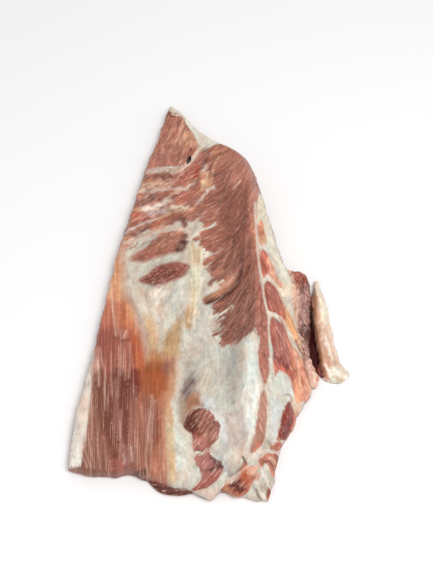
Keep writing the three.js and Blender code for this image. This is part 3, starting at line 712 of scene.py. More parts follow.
# Bands, seams and spikes of fat across the lean: half width and line.
FAT_LINES = [
    (2.3, [(168,104), (178,111), (184,116), (190,125), (198,134), (215,142)]),
    (0.7, [(172,114), (177,115), (182,115)]),
    (1.3, [(186,232), (194,231), (201,230), (208,227), (215,223)]),
    (1.5, [(188,240), (196,235), (205,229.5), (214,224)]),
    (1.0, [(202,247), (207,254), (214,255), (222,249), (225,246)]),
    (0.9, [(204,270), (210,277), (217,274), (222,271)]),
    (1.0, [(208,288), (216,285), (223,281)]),
    (0.8, [(210,316), (218,315), (226,311), (233,306)]),
    (0.7, [(214,323), (219,321), (224,317)]),
    (0.7, [(217,336), (221,332), (225,329)]),
    (0.9, [(255,203), (256,225), (257,240), (258,255), (260,270), (261,282)]),
    (0.9, [(262,283), (264,296), (266,306), (268,314), (268.5,328), (269.5,342)]),
    (1.0, [(261,282), (265,278), (268,275.5), (271,279), (276,285), (281,291), (284,295)]),
    (1.1, [
        (267,312), (272,313), (278,316), (283,321), (288,331), (293,340), (299,350), (305,362), (310,373),
    ]),
    (0.9, [(190,452), (203,453), (210,448), (216,442)]),
]

# How far from an edge its depth still counts, how deep a line of fat lies, and the pale seam along it.
DEPTH_REACH = 14
FAT_LINE_DEPTH = -1.4
SEAM_STRENGTH = 0.8
SEAM_MARGIN = 0.8

# ---- Colours ------------------------------------------------------------------------------------

# Colours are sRGB values to 255, as the picture shows them. These lie under all the tints.
LEAN_COLOUR = (144, 90, 76)
FAT_COLOUR = (216, 209, 195)
SEAM_COLOUR = (236, 226, 208)
LOBE_COLOUR = {"lean": (140, 80, 70), "fat": (226, 190, 172)}
LEAF_COLOUR = {"lean": (170, 100, 85), "fat": (238, 212, 190)}
LAYER_COLOUR = {"lean": (104, 54, 44), "fat": (190, 150, 130)}

# Tints of the lean: colour, strength, softness of the edge and outline.
LEAN_AREAS = [
    ((166,106,90), 1, 6, [(150,100), (200,105), (200,160), (185,168), (140,172)]),
    ((178,116,96), 0.8, 4, [(160,118), (176,120), (178,140), (156,150)]),
    ((132,76,63), 0.9, 3, [(150,158), (170,155), (186,155), (185,167), (160,169), (147,168)]),
    ((216,160,128), 0.9, 3, [(184,134), (192,131), (198,140), (198,152), (190,156), (182,148)]),
    ((128,72,58), 0.9, 1.5, [(169,109), (177,113), (176,117), (168,116)]),
    ((176,116,98), 1, 6, [(140,168), (205,150), (212,215), (180,226), (120,262), (115,240)]),
    ((160,100,82), 0.9, 3, [(130,262), (150,240), (185,226), (192,250), (150,262)]),
    # Painted shade in the hollow at the right end of the first lens.
    ((98,56,46), 0.85, 2.5, [(176,250), (182,240), (188,238), (187,250), (182,253)]),
    ((140,80,67), 1, 3, [(136,284), (160,262), (190,260), (190,275), (150,290)]),
    ((176,114,96), 0.9, 8, [(204,144), (222,138), (248,150), (258,172), (250,186), (226,186), (210,172)]),
    ((150,94,72), 0.8, 3, [(204,144), (216,140), (226,141), (216,150), (206,158)]),
    ((194,132,100), 0.7, 3, [(212,152), (222,148), (220,160), (212,166)]),
    ((168,106,88), 0.9, 6, [(198,160), (222,170), (222,230), (212,270), (196,250)]),
    ((142,86,70), 0.8, 8, [(226,195), (250,190), (256,230), (240,262), (228,250)]),
    ((190,126,106), 0.85, 2.5, [(249,180), (257,182), (259,230), (261,285), (253,285), (250,240)]),
    ((156,100,82), 0.8, 5, [(205,298), (222,286), (240,262), (232,258), (208,270)]),
    ((170,116,88), 0.8, 2.5, [(238,272), (241,282), (226,293), (212,301), (203,303), (204,296), (218,288)]),
    ((132,84,70), 0.8, 6, [(226,300), (250,290), (262,320), (246,336), (226,344), (216,330)]),
    ((150,96,80), 0.7, 5, [(246,240), (256,240), (260,290), (254,310), (246,290)]),
    ((170,108,92), 1, 2, [(257,284), (264,286), (270,320), (270,388), (260,388), (256,330)]),
    ((182,132,114), 1, 2, [(262,388), (269,388), (269,430), (262,450), (248,456), (256,420)]),
    ((208,138,108), 1, 2, [(256,214), (266,218), (270,246), (256,247)]),
    ((224,176,138), 0.9, 1.5, [(263,236), (268,236), (268,246), (262,246)]),
    ((188,106,86), 1, 2, [(258,248), (268,250), (272,276), (264,282), (258,264)]),
    ((220,164,136), 1, 1.8, [(268,254), (274,262), (286,286), (282,292), (273,280), (269,268)]),
    ((164,92,76), 1, 2, [(263,280), (272,282), (280,292), (284,304), (284,320), (274,314), (265,310)]),
    ((182,102,84), 0.8, 2, [(276,290), (284,298), (287,312), (284,322), (278,314)]),
    ((232,170,124), 1, 2, [(284,298), (290,306), (298,320), (300,336), (292,338), (286,326), (285,312)]),
    ((222,186,150), 0.9, 1.6, [(297,332), (302,342), (308,356), (313,370), (308,370), (300,352)]),
    ((164,92,80), 1, 2, [(270,316), (278,318), (286,332), (290,350), (292,376), (280,374), (272,350)]),
    ((204,126,98), 1, 2, [(284,326), (292,342), (297,358), (296,380), (290,366), (287,346)]),
    ((140,74,70), 0.8, 2, [(281,350), (288,352), (290,366), (286,372), (280,364)]),
    ((198,108,92), 0.9, 2, [(272,360), (280,366), (294,372), (294,384), (274,380)]),
    ((224,152,120), 1, 2.5, [(294,352), (302,360), (312,376), (312,404), (296,404), (293,384), (297,370)]),
    ((202,112,92), 0.7, 1.5, [(301,366), (306,370), (305,384), (300,382)]),
    ((134,58,46), 1, 2, [(280,402), (292,402), (297,416), (292,436), (276,442), (280,420)]),
    ((116,40,36), 0.8, 2, [(286,420), (291,422), (289,436), (283,434)]),
    ((208,122,94), 1, 1.2, [(294,414), (298,416), (297,426), (290,438), (286,442), (292,426)]),
    ((180,116,96), 1, 2, [(256,442), (284,440), (284,470), (272,480), (256,468)]),
    # The flap: orange and tan above, rose and brown columns below, an orange-brown right side.
    ((222,158,120), 1, 6, [(96,240), (124,246), (126,290), (118,312), (96,316)]),
    ((228,174,130), 0.8, 2.5, [(117,284), (123,286), (124,300), (118,302)]),
    ((190,112,88), 0.95, 5, [(98,302), (118,304), (120,330), (96,332)]),
    ((198,120,84), 0.95, 4, [(119,303), (130,304), (138,318), (142,332), (120,330)]),
    ((212,148,104), 0.8, 3, [(127,306), (133,308), (136,322), (129,320)]),
    ((162,94,78), 0.95, 5, [(96,332), (130,330), (134,350), (134,374), (94,376)]),
    ((214,168,150), 0.8, 3, [(90,346), (97,350), (100,372), (89,376)]),
    ((188,100,64), 0.95, 5, [(131,332), (143,332), (147,350), (145,374), (136,376), (132,352)]),
    ((200,142,100), 0.9, 3, [(145,354), (160,356), (158,366), (148,368)]),
    ((154,84,46), 0.95, 4, [(146,366), (157,356), (162,358), (163,370), (161,382), (148,382)]),
    ((164,86,50), 0.95, 4, [(148,376), (168,376), (167,402), (150,402)]),
    ((160,86,54), 0.9, 3, [(139,372), (150,374), (150,402), (139,402)]),
    ((116,50,28), 0.9, 2.5, [(130,372), (139,370), (139,396), (130,394)]),
    ((158,98,76), 0.95, 5, [(138,402), (158,404), (158,478), (150,484), (138,476)]),
    ((188,140,126), 0.7, 3, [(147,412), (153,412), (152,440), (147,440)]),
    ((156,90,68), 0.85, 3, [(154,404), (162,404), (162,442), (155,442)]),
    ((194,130,98), 0.85, 3, [(160,398), (169,398), (170,450), (162,450)]),
    ((180,112,88), 0.8, 4, [(155,446), (168,446), (170,482), (152,484)]),
    ((118,62,50), 0.9, 5, [(105,380), (130,376), (131,440), (124,450), (106,452)]),
    ((150,92,78), 0.85, 3, [(129,394), (138,394), (138,464), (130,464)]),
    ((168,116,98), 0.9, 4, [(84,376), (97,376), (96,440), (84,440)]),
    ((124,74,58), 0.9, 4, [(95,376), (106,378), (106,440), (95,444)]),
    ((142,92,75), 0.9, 4, [(80,438), (106,436), (106,470), (74,470)]),
    ((112,56,42), 0.8, 3, [(108,436), (118,436), (119,460), (110,462)]),
    ((152,98,86), 0.85, 3, [(119,446), (129,446), (129,468), (119,470)]),
    ((152,86,72), 0.8, 2.5, [(110,461), (122,461), (123,473), (112,472)]),
    # The cut front rim.
    ((140,90,76), 1, 1.6, [
        (62,465), (80,469.5), (110,471.5), (118,474), (126,472), (136,475), (152,481), (152,492), (60,488),
    ]),
    ((104,60,36), 0.95, 1.5, [(133,475), (139,470), (147,469), (148,474), (140,477)]),
    ((142,79,65), 1, 2, [(182,404), (214,404), (224,430), (206,456), (186,440)]),
    ((104,54,40), 0.95, 2, [(184,424), (192,411), (200,407), (199,420), (195,433), (189,435)]),
    ((176,112,98), 0.9, 2.5, [(192,438), (206,438), (208,456), (193,458)]),
    ((156,92,86), 1, 2, [(190,455), (212,450), (228,464), (222,484), (186,494)]),
    ((182,122,112), 0.9, 2.5, [(193,455), (206,455), (208,468), (200,474), (195,466)]),
    ((96,54,52), 0.9, 1.5, [(212,455), (222,460), (225,468), (218,466), (211,461)]),
    ((98,54,48), 0.7, 1.2, [(207,470), (214,467), (222,464), (222,468), (212,472)]),
    ((154,76,62), 0.9, 2, [(196,482), (214,476), (212,488), (190,494)]),
    ((184,104,76), 1, 2, [(214,492), (236,474), (258,462), (260,480), (248,500), (220,500)]),
    ((92,28,16), 0.95, 3, [(229,484), (238,478), (246,484), (243,493), (233,491)]),
    ((170,80,50), 0.8, 2.5, [(240,474), (246,472), (248,484), (244,488), (240,482)]),
    ((226,180,156), 0.85, 2, [(246,461), (258,461), (258,474), (249,474)]),
    ((192,132,100), 0.8, 2, [(218,488), (232,488), (232,498), (218,496)]),
]

# Creases, threads and pale strands of the lean: colour, strength, half width and line.
LEAN_STROKES = [
    # The fan's tongue with a painted highlight, the painted shadow of the fold under it, then its creases,
    # darkened with painted shade, and pale strands, partly painted highlight.
    ((194,138,112), 0.85, 2.6, [(233,278), (223,287), (213,294)]),
    # Painted shadow of the fold under the tongue.
    ((84,46,35), 0.95, 2.3, [(242,268), (239,281), (231,292), (221,299), (208,303)]),
    ((96,56,44), 0.8, 1.1, [(243,258), (242,268), (237,282)]),
    ((88,50,40), 0.85, 0.9, [(234,235), (232,246), (228,257), (225,268)]),
    ((104,62,50), 0.7, 0.7, [(238,234), (240,248), (241,262)]),
    ((108,66,52), 0.7, 0.7, [(229,236), (226,248), (220,258), (214,264)]),
    ((104,60,48), 0.8, 0.9, [(232,170), (228,181), (223,192), (219,206)]),
    ((112,66,54), 0.6, 0.8, [(226,172), (222,184), (216,196)]),
    ((112,64,54), 0.6, 1.3, [(238,206), (234,220), (232,232)]),
    ((118,72,58), 0.6, 1, [(246,214), (244,232), (243,250)]),
    ((100,62,50), 0.6, 0.8, [(250,246), (250,268), (246,290), (240,306)]),
    ((104,64,52), 0.6, 0.8, [(254,268), (254,290), (250,312)]),
    ((104,66,54), 0.6, 0.8, [(240,290), (234,302), (226,311)]),
    ((98,60,48), 0.6, 0.8, [(246,300), (241,314), (233,326)]),
    ((100,62,50), 0.6, 0.8, [(252,312), (247,324), (240,332)]),
    ((198,150,126), 0.6, 0.7, [(232,240), (229,252), (224,262), (217,270)]),
    ((198,150,126), 0.6, 0.7, [(236,250), (233,262), (228,274)]),
    ((196,148,126), 0.55, 0.7, [(243,288), (237,300), (229,309)]),
    ((196,150,128), 0.55, 0.7, [(249,296), (244,310), (236,322)]),
    ((188,140,118), 0.5, 0.8, [(247,236), (246,256), (244,272)]),
    ((204,156,136), 0.6, 0.8, [(241,160), (236,164), (231,169)]),
    ((222,192,176), 0.7, 0.9, [(240,181), (237,184), (234,188)]),
    ((204,156,134), 0.5, 0.8, [(222,196), (219,208), (213,218)]),
    ((200,150,130), 0.5, 0.8, [(248,160), (244,170), (238,178)]),
    ((188,124,104), 0.6, 1.6, [(216,232), (208,236), (200,239)]),
    # Pale threads down the flap, and a crease across its top, darkened with painted shade.
    ((246,208,180), 0.75, 0.8, [(111,284), (112,300), (114,318), (116,336)]),
    ((236,188,162), 0.6, 0.6, [(115,300), (117,318), (119,334)]),
    ((238,188,158), 0.7, 0.7, [(135,312), (136,322), (136,334)]),
    ((232,182,160), 0.65, 0.6, [(121,330), (121,342), (121,360), (121,374)]),
    ((228,174,156), 0.7, 0.7, [(130,344), (130,360), (129,378)]),
    ((226,174,156), 0.65, 0.6, [(119,348), (119,372), (118,396)]),
    ((222,168,150), 0.55, 0.6, [(125,350), (125,380)]),
    ((232,186,166), 0.75, 0.7, [(100,348), (102,360), (105,372), (105,392), (105,410)]),
    ((236,198,178), 0.75, 0.8, [(98,362), (99,374), (99,386)]),
    ((222,172,154), 0.6, 0.6, [(111,352), (111,372), (111,394)]),
    ((214,160,144), 0.6, 0.6, [(115,380), (115,404), (114,430)]),
    ((214,162,146), 0.6, 0.6, [(117,392), (118,420), (118,440)]),
    ((220,170,154), 0.6, 0.6, [(121,410), (121,430), (123,448)]),
    ((208,154,138), 0.55, 0.7, [(131,400), (131,430), (131,462)]),
    ((212,162,142), 0.55, 0.6, [(136,398), (136,430), (137,470)]),
    ((232,192,172), 0.6, 1, [
        (152,396), (151.5,404), (150,415), (148,430), (147,445), (146,462), (149,478),
    ]),
    ((226,182,164), 0.65, 0.6, [(155,400), (153,424), (151,446), (151,470)]),
    ((214,162,140), 0.55, 0.6, [(142,404), (142,440), (140,474)]),
    ((222,172,150), 0.55, 0.7, [(161,440), (160,460), (160,480)]),
    ((230,184,154), 0.6, 0.7, [(165,446), (164,470)]),
    ((214,168,152), 0.55, 0.7, [(92,380), (92,410), (91,440)]),
    ((226,190,172), 0.65, 0.7, [(80,450), (84,460), (87,467)]),
    ((226,190,172), 0.65, 0.7, [(83,444), (87,456), (91,467)]),
    ((220,180,162), 0.6, 0.6, [(88,436), (92,454), (95,468)]),
    ((214,170,152), 0.55, 0.6, [(98,440), (100,468)]),
    ((210,162,146), 0.55, 0.6, [(104,436), (106,469)]),
    ((240,214,210), 0.5, 0.7, [(131,447), (132,454), (133,461)]),
    ((236,208,206), 0.4, 0.8, [(123,454), (125,459), (124,464)]),
    # The crease across the flap's top: painted shade.
    ((112,58,46), 0.85, 0.9, [(113,337), (118,338.5), (121,341), (128,339.5)]),
    ((224,162,146), 0.8, 1.6, [(124,337), (126,332)]),
    ((116,66,56), 0.65, 1.3, [(108,392), (108,430)]),
    ((114,62,52), 0.55, 1.3, [(112,404), (113,440)]),
    ((122,70,58), 0.55, 1.1, [(98,420), (98,448)]),
    ((118,66,54), 0.55, 1.1, [(125,384), (126,420)]),
    ((132,62,44), 0.5, 1, [(134,344), (134,366)]),
    # Pale strands of the flank muscles.
    ((222,170,150), 0.6, 0.6, [(275,328), (277,340), (279,356)]),
    ((226,180,160), 0.6, 0.6, [(279,332), (281,344), (282,354)]),
    ((226,184,164), 0.5, 0.5, [(283,340), (285,350), (288,362)]),
    ((116,60,56), 0.6, 0.7, [(278,334), (280,348), (283,362), (288,370)]),
    ((240,198,166), 0.8, 0.9, [(292,344), (296,358), (299,374), (300,392)]),
    ((238,200,172), 0.7, 0.7, [(303,372), (306,386), (306,399)]),
    ((214,140,120), 0.6, 0.6, [(268,288), (271,298), (275,308)]),
    ((208,134,112), 0.5, 0.6, [(273,290), (278,300), (283,314)]),
    # The cut fibres of the two lower muscles; the pale ones are partly painted highlight.
    ((216,170,152), 0.8, 0.6, [(196,421), (199,416), (201,411)]),
    ((220,174,156), 0.8, 0.6, [(199,427), (203,420), (207,412)]),
    ((216,170,154), 0.8, 0.6, [(201,432), (206,424), (211,415)]),
    ((220,176,158), 0.8, 0.6, [(204,436), (209,428), (215,418)]),
    ((212,160,142), 0.7, 0.6, [(205,443), (211,434), (218,424)]),
    ((216,168,146), 0.8, 0.7, [(211,441), (215,434), (218,428)]),
    ((204,150,134), 0.6, 0.6, [(198,446), (202,440), (206,434)]),
    ((208,156,142), 0.7, 0.6, [(200,476), (206,468), (211,463)]),
    ((214,164,150), 0.7, 0.6, [(203,482), (209,475), (216,468)]),
    ((210,156,138), 0.7, 0.6, [(207,486), (213,478), (220,470)]),
    ((84,42,38), 0.7, 0.8, [(200,470), (208,470), (216,467), (222,466)]),
    ((92,44,36), 0.7, 0.8, [(193,437), (196,444), (199,450)]),
    # Painted shade in the hollows between the scraps at the back end.
    ((92,46,40), 0.8, 0.9, [(275,455), (277,460), (277,466)]),
    ((88,44,40), 0.8, 0.8, [(264,462), (268,461), (271,463)]),
    ((208,178,152), 0.8, 1.2, [(270,458), (273,460), (274,463)]),
]

# Strokes over lean and fat alike: colour, strength, half width and line.
OVER_STROKES = [
    # The bands between the first ribs, from the tip down.
    ((206,186,172), 0.95, 1.5, [
        (146,173), (152,172), (160,171), (168,170.5), (176,171), (184,168.5), (190,165),
    ]),
    ((176,156,152), 0.8, 1.1, [(170,172.5), (174,172.5), (178,172)]),
    ((138,80,66), 0.95, 2.2, [(146,177), (153,177), (160,176.5), (170,176)]),
    ((178,116,84), 0.9, 1.4, [(143,181.5), (148,181), (154,180)]),
    ((206,172,148), 0.9, 2.6, [(142,185), (150,185), (158,184), (166,183)]),
    ((168,98,82), 0.9, 3.2, [(173,183), (179,181), (184,180)]),
    ((174,96,78), 0.9, 4.2, [(180,178), (188,173), (196,166)]),
    ((208,142,114), 0.7, 1.2, [(176,173), (184,169), (192,163)]),
    ((218,176,156), 0.8, 0.8, [(154,188), (157,184), (161,180)]),
    ((218,176,156), 0.8, 0.8, [(158,188), (162,184), (166,180)]),
    ((218,176,156), 0.8, 0.8, [(163,188), (167,184), (172,180)]),
    ((222,184,164), 0.8, 0.9, [(169,188), (172,184), (177,179), (183,174)]),
    ((166,98,82), 0.7, 0.7, [(156,187), (160,183), (164,179)]),
    ((166,98,82), 0.7, 0.7, [(161,187), (165,183), (169,179)]),
    ((212,190,174), 0.95, 1.7, [(140,191), (150,191), (160,190), (170,189.5), (180,189), (188,188)]),
    ((228,204,186), 0.9, 0.9, [(180,192), (186,189), (192,185), (196,181)]),
    ((206,176,158), 0.8, 1.4, [(144,199), (150,193), (156,190)]),
    ((196,120,104), 0.9, 1.8, [(137,196), (141,197)]),
    ((150,82,68), 0.9, 1.8, [(134.5,204), (138,204)]),
    ((132,98,94), 0.95, 1.5, [(142,205.5), (146,203), (151,199), (157,196)]),
    ((112,78,74), 0.7, 0.8, [(149,197), (153,195), (156,195)]),
    ((180,106,80), 0.95, 1.9, [(159,198), (165,194), (172,191)]),
    ((224,190,166), 0.85, 1, [(163,201), (168,197), (175,193), (182,191)]),
    ((158,76,56), 0.9, 1.3, [(167,205), (172,199), (177,195.5), (182,192)]),
    ((188,112,88), 0.9, 3.4, [(180,202), (188,197), (197,191), (204,184)]),
    ((214,168,146), 0.6, 0.7, [(186,204), (192,199), (199,193)]),
    ((130,74,62), 0.6, 0.7, [(184,203), (190,198), (196,193)]),
    ((206,162,124), 0.9, 1.5, [(134,209.5), (139,210), (143,210)]),
    ((232,214,200), 1, 2.6, [(144,208.5), (150,208.5), (158,206), (164,203.5), (170,200)]),
    ((222,204,182), 0.95, 1.8, [(165,210.5), (172,208), (180,207), (188,208.5)]),
    ((176,98,62), 0.9, 1, [(137,213.5), (143,213)]),
    ((222,88,66), 0.9, 1.4, [(132.5,216), (136,214.5)]),
    ((190,166,160), 0.9, 2.6, [(150,214), (158,212), (166,212)]),
    ((206,142,122), 0.8, 1.3, [(133,221), (140,218), (150,216)]),
    ((198,162,130), 0.85, 1.5, [(152,221), (160,218), (170,214), (178,211), (186,211)]),
    ((188,112,86), 0.8, 1.6, [(184,214), (194,209), (204,202)]),
    ((166,90,74), 0.95, 1.7, [(128,229), (135,225), (143,220.5), (149,218.5)]),
    ((216,196,190), 0.95, 1.3, [(126,233), (134,228), (144,223), (154,220)]),
    ((120,70,58), 0.95, 2.1, [(132,235.5), (139,231.5), (147,228), (154,225)]),
    ((178,98,68), 0.9, 2, [(152,227), (160,222), (168,218.5), (176,216)]),
    ((190,126,98), 0.8, 1.1, [(140,237), (152,232), (162,227), (172,222)]),
    ((150,84,66), 0.9, 2.4, [(166,225), (174,221), (182,216)]),
    ((130,76,66), 0.95, 2.6, [(181,219), (185,222), (184,227)]),
    ((214,188,172), 0.8, 1, [(160,232), (168,227), (176,224), (182,226)]),
    ((200,132,98), 0.9, 1.5, [(123,240), (127,238), (131,237.5)]),
    ((214,190,174), 1, 1.9, [
        (124,243), (134,240), (146,237), (158,232), (170,229), (182,229.5), (190,229),
    ]),
    ((178,122,92), 0.85, 1.2, [(131,248.5), (134,246), (137,243.5)]),
    ((170,124,98), 0.7, 0.9, [(143,243.5), (147,240.5)]),
    ((196,160,132), 0.7, 1, [(123,254), (127,249)]),
    ((160,130,116), 0.6, 0.8, [(151,237), (155,235)]),
    # The first lens of lean: tan streaks above, and painted shade in a hollow at its right end.
    ((204,144,112), 0.7, 0.9, [(158,244), (166,239), (174,235), (181,232)]),
    ((206,150,118), 0.6, 0.8, [(162,248), (170,243), (178,238)]),
    ((208,152,122), 0.6, 0.7, [(150,250), (158,246), (166,243)]),
    ((88,50,42), 0.95, 2, [(178,250), (182,246), (186,242)]),
    ((92,54,44), 0.8, 1.2, [(184,238), (186,234)]),
    # The pale seam under the slit, the crease above it darkened with painted shade, and pale streaks down
    # the tip.
    ((236,204,180), 0.9, 1.2, [
        (203,147), (197,153), (192,158.5), (188,164), (185,168), (180,171), (172,173),
    ]),
    ((96,50,34), 0.9, 1, [(190.5,149.5), (189,153), (188,156)]),
    ((234,188,158), 0.7, 0.8, [(184,120), (181,130), (176,142), (170,152)]),
    ((228,180,150), 0.6, 0.7, [(187,126), (184,136), (180,145)]),
    ((216,164,138), 0.5, 0.7, [(179,116), (175,126), (168,138), (162,148)]),
    ((134,80,64), 0.5, 0.8, [(181,119), (177,130), (171,141)]),
    ((196,140,118), 0.5, 0.7, [(168,118), (164,128), (158,140)]),
    # The torn scraps at the back end: an orange rim, red-brown bits, painted shade in the hollows, and pale
    # threads.
    ((206,112,82), 0.85, 1, [(297,412), (297.5,420), (294,430), (289,439)]),
    ((232,206,180), 0.8, 1, [(296,402), (299,408), (298,413)]),
    ((166,78,60), 0.85, 1.2, [(276,446), (280,444), (283,446)]),
    ((110,48,38), 0.8, 0.9, [(271,446), (272,452), (275,456)]),
    ((236,222,208), 0.8, 1, [(261,452), (268,451), (275,453), (281,452)]),
    ((152,68,50), 0.8, 1.2, [(279,456), (280,464), (277,472)]),
    ((206,116,88), 0.8, 0.9, [(281,458), (281,466), (278,474)]),
    ((240,230,216), 0.8, 1.3, [(262,470), (266,478), (270,488)]),
    ((236,224,208), 0.8, 1, [(256,482), (260,490), (264,498)]),
    ((170,96,76), 0.85, 1.8, [(272,455), (277,456), (280,462)]),
    ((158,82,62), 0.8, 1.1, [(268,490), (270,496), (268,500)]),
    ((140,62,44), 0.8, 1.1, [(222,489), (226,494), (230,497)]),
    # Where the ribs meet the fan: a cream hollow, a red spot, and creases darkened with painted shade.
    ((224,200,182), 1, 2.6, [(205,168), (204,173), (206,178)]),
    ((240,184,142), 0.9, 4.2, [(204,175), (206,184)]),
    ((234,202,160), 0.9, 1.8, [(203,181), (204,185), (202,188)]),
    ((192,58,38), 0.9, 1.9, [(195,177), (197,172), (198,168)]),
    ((196,74,52), 0.8, 1, [(202,179), (204,176.5)]),
    ((110,58,44), 0.85, 1, [(200,169), (205,163), (208,157), (210,153)]),
    ((104,58,44), 0.85, 0.9, [(209,172), (212,165), (216,159), (221,153)]),
    ((216,164,130), 0.85, 1.1, [(219,157), (215,164), (213,172), (211,182), (207,189)]),
    ((228,206,190), 0.95, 1.6, [(214,188), (208,190), (204,196), (198,203)]),
    ((222,178,152), 0.7, 1, [(198,204), (192,208), (187,211)]),
    # Lean strands that reach down to the tendons.
    ((210,172,150), 0.8, 0.9, [(196,222), (201,217), (206,212)]),
    ((216,184,164), 0.8, 0.8, [(190,226), (195,222), (199,219)]),
    ((138,82,70), 0.7, 1, [(190,221), (196,217), (203,212)]),
]

# Tints of the fat, as the lean's.
FAT_AREAS = [
    ((234,228,214), 0.9, 3, [(176,108), (196,126), (218,140), (206,150), (192,158), (190,134)]),
    ((206,200,186), 0.8, 9, [(200,352), (234,350), (242,390), (224,420), (200,400)]),
    ((186,172,162), 0.9, 6, [(226,414), (244,412), (246,446), (224,452), (220,434)]),
    ((228,230,222), 0.8, 4, [(247,346), (258,342), (260,380), (256,420), (248,440), (246,400)]),
    ((222,226,226), 0.8, 4, [(200,400), (212,400), (224,420), (226,440), (218,436), (208,410)]),
    ((216,210,196), 0.9, 5, [(126,262), (180,250), (188,262), (160,296), (128,292)]),
    ((226,214,194), 0.8, 6, [(186,245), (206,246), (204,300), (194,330), (186,300)]),
    ((226,202,178), 0.7, 7, [(128,288), (160,290), (166,312), (146,314)]),
    ((216,178,138), 0.95, 4, [(145,318), (153,318), (158,340), (158,362), (150,362)]),
    ((196,158,116), 0.95, 4, [(161,346), (170,328), (181,316), (182,330), (178,358), (166,364)]),
    ((196,150,92), 0.9, 2.4, [(186,312), (191,303), (193,312), (190,328), (186,326)]),
    ((190,130,88), 0.85, 5, [(147,356), (167,356), (166,398), (150,400)]),
    ((212,160,122), 0.95, 4, [(158,360), (176,360), (175,392), (174,418), (165,418)]),
    ((222,190,148), 0.9, 4, [(166,412), (174,420), (176,478), (166,480), (165,440)]),
    ((224,225,213), 0.85, 3, [
        (172,402), (177,410), (181,430), (189,446), (191,462), (184,472), (177,468), (176,440),
    ]),
    ((172,162,152), 0.7, 4, [(187,362), (199,362), (199,382), (187,382)]),
    # Painted shade, tan-grey, beside the lower muscle's upper left.
    ((164,136,116), 0.85, 3, [(182,390), (190,398), (190,410), (186,425), (180,424), (178,408)]),
    ((140,118,112), 0.9, 4, [(183,382), (193,377), (196,384), (189,398), (183,396)]),
    ((160,108,80), 0.95, 4, [(187,398), (196,391), (202,404), (194,409), (186,414)]),
    # Painted shade: a grey area in the fat to the right of the tendons.
    ((168,164,156), 0.8, 7, [(226,348), (242,344), (240,384), (230,404), (224,380)]),
    ((192,184,170), 0.7, 6, [(208,448), (222,452), (240,470), (226,462)]),
    ((206,196,184), 0.6, 8, [(206,300), (220,305), (214,345), (196,370), (190,330)]),
    ((236,224,212), 0.9, 4, [(66,470), (70,420), (86,372), (92,372), (88,420), (80,468)]),
    ((222,200,186), 0.6, 4, [(74,400), (92,360), (88,400), (80,440)]),
    ((234,226,204), 1, 3, [
        (256,186), (262,190), (272,222), (290,270), (300,290), (296,300), (270,250), (256,210),
    ]),
    ((206,196,174), 0.7, 1.6, [(274,260), (279,264), (280,276), (276,274)]),
    ((200,200,180), 0.6, 1.2, [(264,212), (266,214), (266,222), (264,220)]),
    ((238,216,190), 0.95, 2, [(278,281), (288,285), (297,290), (298,306), (290,312), (280,292)]),
    ((232,218,204), 1, 2, [(284,294), (297,298), (301,306), (300,318), (295,319), (289,307)]),
    ((224,190,174), 0.7, 1.5, [(294,303), (300,303), (300,312), (295,311)]),
    ((222,208,178), 0.95, 1.6, [
        (297,334), (303,338), (307,350), (315,366), (315,374), (308,366), (301,350),
    ]),
    ((238,204,184), 0.9, 2, [(306,366), (326,364), (328,392), (308,394), (310,378)]),
    ((214,211,199), 0.9, 3, [(274,374), (292,378), (298,404), (284,404), (274,396)]),
    ((206,206,200), 0.7, 2.5, [(284,388), (290,388), (288,396), (282,396)]),
    ((212,213,210), 0.9, 2.5, [(272,402), (282,402), (280,420), (277,438), (271,438)]),
    ((224,192,164), 0.9, 2, [(293,398), (300,402), (299,414), (294,416), (291,406)]),
    ((232,204,188), 0.8, 2, [(196,490), (218,488), (214,500), (206,500)]),
    # Painted shadow: grey lines to the right of the lowest muscle.
    ((178,174,170), 0.8, 2, [(212,450), (220,456), (230,466), (232,476), (226,474), (218,462)]),
    ((196,184,170), 0.95, 3, [(252,472), (262,468), (272,474), (273,490), (262,494), (252,488)]),
    ((206,142,124), 0.85, 1.5, [(253,474), (259,473), (259,481), (254,481)]),
    ((230,216,206), 0.9, 3, [(246,446), (262,450), (262,458), (248,458)]),
]
